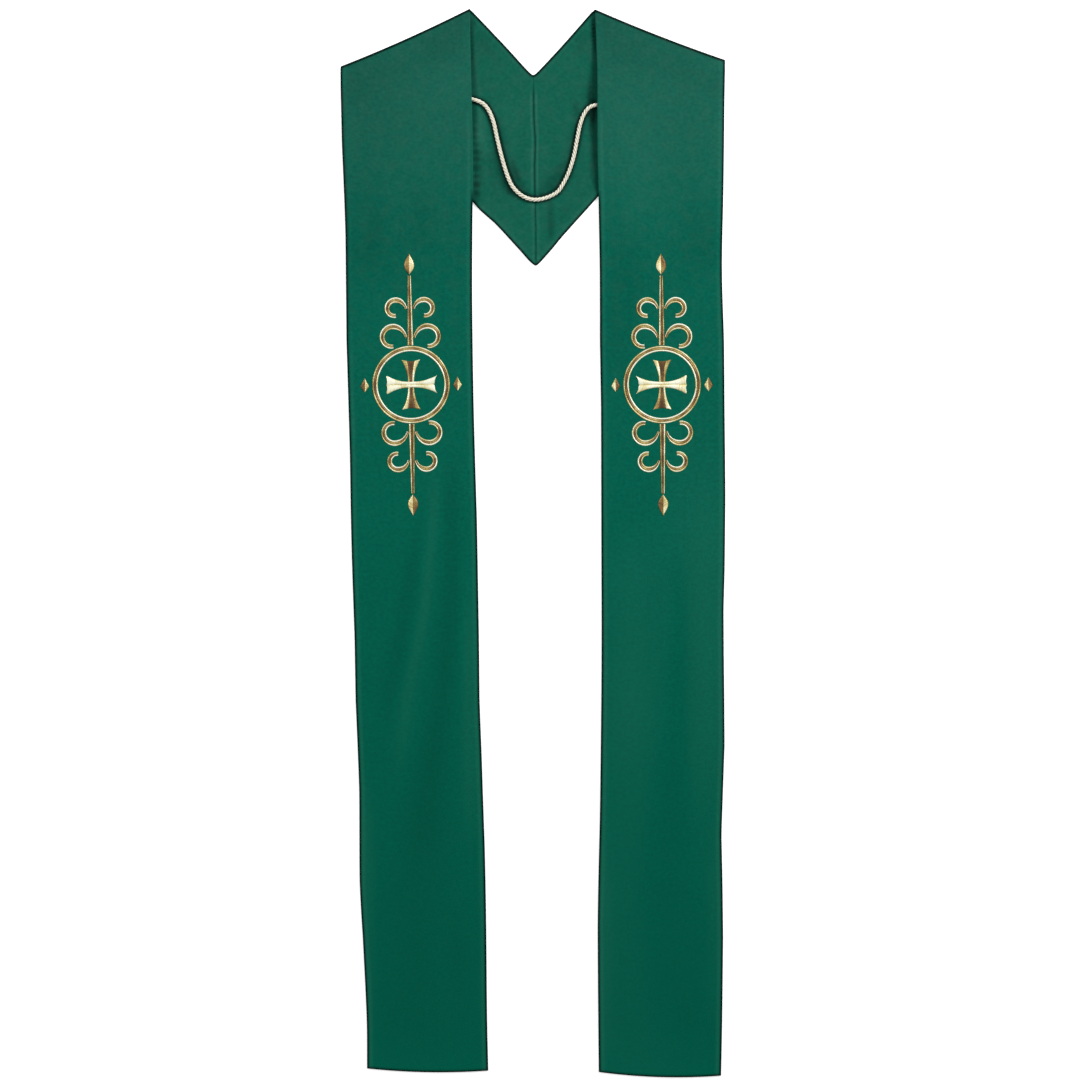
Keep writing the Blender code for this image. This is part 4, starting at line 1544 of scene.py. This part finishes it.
def stitch_band(stroke, band, dice):
    """Points, faces, tones and thread places of one closed band of satin stitches."""
    place, forward, half, distance, length = stroke_rows(stroke)
    left = np.stack([-forward[:, 1], forward[:, 0]], axis=1)
    count = len(place)
    middle = (band.start + band.end - 1.0) * half
    reach = np.maximum((band.end - band.start) * half, STITCH_LEAST)
    sway = np.array([dice.uniform(-1.0, 1.0) for _ in range(count)])
    tone_sway = np.repeat([dice.uniform(-1.0, 1.0) for _ in range(count // 2 + 1)], 2)[:count]
    phase = dice.uniform(0.0, 2 * math.pi)
    points, tones, places = [], [], []
    for n in range(count):
        if stroke.closed:
            end_share = 1.0
        else:
            to_end = min(distance[n], length - distance[n]) / STITCH_END
            end_share = math.sqrt(max(1.0 - (1.0 - min(to_end, 1.0)) ** 2, 0.0))
        in_groove = n % 2
        tip = reach[n] + STITCH_SWAY * sway[n] * min(reach[n], 1.0)
        # Painted sheen: strokes that run level are painted paler, standing for threads that catch the
        # light
        painted_sheen = PAINTED_SHEEN_GAIN * (abs(forward[n][0]) - PAINTED_SHEEN_FROM)
        drift = TONE_DRIFT * math.sin(distance[n] / DRIFT_LENGTH + phase)
        for k in range(STITCH_SAMPLES):
            share = -math.cos(math.pi * k / (STITCH_SAMPLES - 1))
            offset = middle[n] + share * tip
            crown = math.sqrt(max(1.0 - share**2, 0.0))
            lift = (band.crest - STITCH_FOOT) * crown * (END_HEIGHT + (1.0 - END_HEIGHT) * end_share)
            lift -= STITCH_GROOVE * in_groove * crown
            shift = band.slant * share * tip * end_share
            if stroke.dip:
                dip = stroke.dip * (1.0 - (offset / half[n]) ** 2)
                shift -= dip * (distance[n] / length) ** CROSS_DIP_POWER
                shift += dip * (1.0 - distance[n] / length) ** CROSS_DIP_POWER
            point = place[n] + left[n] * offset + forward[n] * shift
            points.append((point[0], point[1], STITCH_FOOT + lift))
            # Painted shade darkens the grooves between stitches and each stitch's sides; the band's tone
            # is painted light or shade; the sway and drift differ at random
            tone = band.tone + painted_sheen + drift + TONE_SWAY * tone_sway[n] - GROOVE_PAINTED_SHADE * in_groove
            tones.append(min(max(tone - SIDE_PAINTED_SHADE * (1.0 - crown), 0.0), 1.0))
            places.append((offset * MM, distance[n] * MM, 0.0))
    return points, stitch_faces(count, stroke.closed), tones, places


def ring_strokes():
    """The ring as one closed stroke, with the bands of stitches that fill it."""
    radius = (RING_OUTER + RING_INNER) / 2
    steps = [2 * math.pi * n / RING_STEPS for n in range(RING_STEPS)]
    path = [(radius * math.cos(a), radius * math.sin(a)) for a in steps]
    halves = [(RING_OUTER - RING_INNER) / 2] * len(path)
    return [(Stroke(path, halves, closed=True), OUTLINED)]


def arm_half(distance):
    """Half the width of a cross arm, which flares from its waist to its end."""
    share = max((distance - CROSS_WAIST) / (CROSS_REACH - CROSS_WAIST), 0.0)
    return between(CROSS_WAIST, CROSS_FLARE, share**2)


def cross_strokes():
    """The level arms are one solid stroke, and each upright arm is an outlined one."""
    level = np.linspace(-CROSS_REACH, CROSS_REACH, CROSS_STEPS)
    halves = [arm_half(abs(x)) for x in level]
    strokes = [(Stroke([(x, 0.0) for x in level], halves, dip=CROSS_END_DIP), SOLID)]
    for way in (1, -1):
        reach = np.linspace(CROSS_WAIST - CROSS_END_DIP - ARM_TUCK, CROSS_REACH, ARM_STEPS)
        path = [(0.0, way * y) for y in reach]
        halves = [arm_half(y) for y in reach]
        strokes.append((Stroke(path, halves, dip=CROSS_END_DIP), OUTLINED))
    return strokes


def bud_strokes():
    shares = np.linspace(BUD_TIP, 1.0 - BUD_TIP, BUD_STEPS)
    path = [(0.0, STEM_TOP + THREAD_GAP + BUD_LENGTH * share) for share in shares]
    halves = [BUD_WIDTH / 2 * math.sin(math.pi * share) ** BUD_POWER for share in shares]
    return [(Stroke(path, halves), SPLIT)]


def lozenge_strokes(way):
    shares = np.linspace(-LOZENGE_TIP, LOZENGE_TIP, LOZENGE_STEPS)
    path = [(way * LOZENGE_OUT, share * LOZENGE_HEIGHT / 2) for share in shares]
    halves = [(1.0 - abs(share)) * LOZENGE_WIDTH / 2 for share in shares]
    return [(Stroke(path, halves), SPLIT)]


def stem_strokes():
    foot = RING_OUTER + THREAD_GAP
    path = [(0.0, foot), (0.0, STEM_TOP)]
    return [(Stroke(path, [STEM_ROOT_WIDTH / 2, STEM_TIP_WIDTH / 2]), OUTLINED)]


def scroll_strokes(scroll):
    """A tapering stroke that leaves the stem upwards and curls over, away from it."""
    step = scroll.length / (SCROLL_POINTS - 1)
    stem_half = between(STEM_ROOT_WIDTH, STEM_TIP_WIDTH, scroll.height / STEM_TOP) / 2
    place = Vector((stem_half + THREAD_GAP + SCROLL_ROOT_WIDTH / 2, scroll.height))
    path, halves = [], []
    for n in range(SCROLL_POINTS):
        share = n / (SCROLL_POINTS - 1)
        heading = SCROLL_HEADING - SCROLL_TURN * share**SCROLL_TURN_POWER
        if share < SCROLL_FULL_AT:
            wide = between(SCROLL_ROOT_WIDTH, SCROLL_FULL_WIDTH, eased(share / SCROLL_FULL_AT))
        else:
            past = (share - SCROLL_FULL_AT) / (1 - SCROLL_FULL_AT)
            wide = between(SCROLL_FULL_WIDTH, SCROLL_TIP_WIDTH, past)
        path.append(tuple(place))
        halves.append(wide / 2)
        place = place + Vector((math.cos(heading), math.sin(heading))) * step
    return [(Stroke(path, halves), OUTLINED)]


def turned_strokes(strokes, way, up):
    """The strokes mirrored left to right where way is -1, and top to bottom where up is -1."""
    turned = []
    for stroke, bands in strokes:
        path = [(x * way, y * up) for x, y in stroke.path]
        turned.append((stroke._replace(path=path), bands))
    return turned


def ornament_strokes():
    """The strokes of every raised piece, about the ornament's middle."""
    pieces = {"ring": ring_strokes(), "cross": cross_strokes()}
    for name, way in (("inner", -1), ("outer", 1)):
        pieces[f"lozenge_{name}"] = lozenge_strokes(way)
    for half, up in (("upper", 1), ("lower", -1)):
        pieces[f"{half}_stem"] = turned_strokes(stem_strokes(), 1, up)
        pieces[f"{half}_bud"] = turned_strokes(bud_strokes(), 1, up)
        for scroll in SCROLLS:
            for name, way in (("inner", -1), ("outer", 1)):
                curl = turned_strokes(scroll_strokes(scroll), way, up)
                pieces[f"{half}_{scroll.name}_scroll_{name}"] = curl
    return pieces


def add_ornament(side, finish):
    """The gold stitches of one front, each piece in the place of its solid."""
    places = []
    for drop in (ORNAMENT_DROP - STEM_TOP, ORNAMENT_DROP + STEM_TOP):
        edges = [edge_at(side.sections, edge, drop) for edge in ("inner", "outer")]
        places.append(Vector((side.sign * sum(edges) / 2, -drop)))
    centre = (places[0] + places[1]) / 2
    upright = (places[0] - places[1]).normalized()
    aside = Vector((upright.y, -upright.x))
    made = []
    for name, strokes in ornament_strokes().items():
        dice = random.Random(f"{side.name}_{name}")
        points, faces, tones, thread_places = [], [], [], []
        for stroke, bands in strokes:
            for band in bands:
                band_points, band_faces, band_tones, band_places = stitch_band(stroke, band, dice)
                first = len(points)
                for along, up, height in band_points:
                    plan = centre + aside * side.sign * along + upright * up
                    points.append(world(plan.x, -plan.y, height))
                faces += [tuple(corner + first for corner in face) for face in band_faces]
                tones += band_tones
                thread_places += band_places
        piece = add_mesh(
            f"{side.name}_{name}_stitches",
            points,
            faces,
            [finish],
            floats={"stitch_tone": tones},
            vectors={"stitch_place": thread_places},
        )
        tidy_normals(piece.data)
        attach(piece, BODY)
        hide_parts(f"{side.name}_{name}")
        made.append(piece)
    return made


def main():
    bpy.context.scene.view_settings.view_transform = "Standard"
    add_camera()
    add_cord()
    add_lights()
    add_floor()
    face_cloth = cloth_finish(
        "face_cloth",
        colours_and_painted_sheen=FACE_COLOURS_AND_PAINTED_SHEEN,
        edge=PAINTED_EDGE_SHADE_COLOUR,
        threads=1800.0,
        depth=0.00022,
        sheen=0.03,
    )
    lining_cloth = cloth_finish(
        "lining_cloth",
        colours_and_painted_sheen=LINING_COLOURS,
        edge=PAINTED_EDGE_SHADE_COLOUR,
        threads=2200.0,
        depth=0.00014,
        sheen=0.03,
    )
    gold = thread_finish()
    for side in (LEFT, RIGHT):
        stitches = add_ornament(side, gold)
        add_strip(side, [face_cloth, lining_cloth])


main()
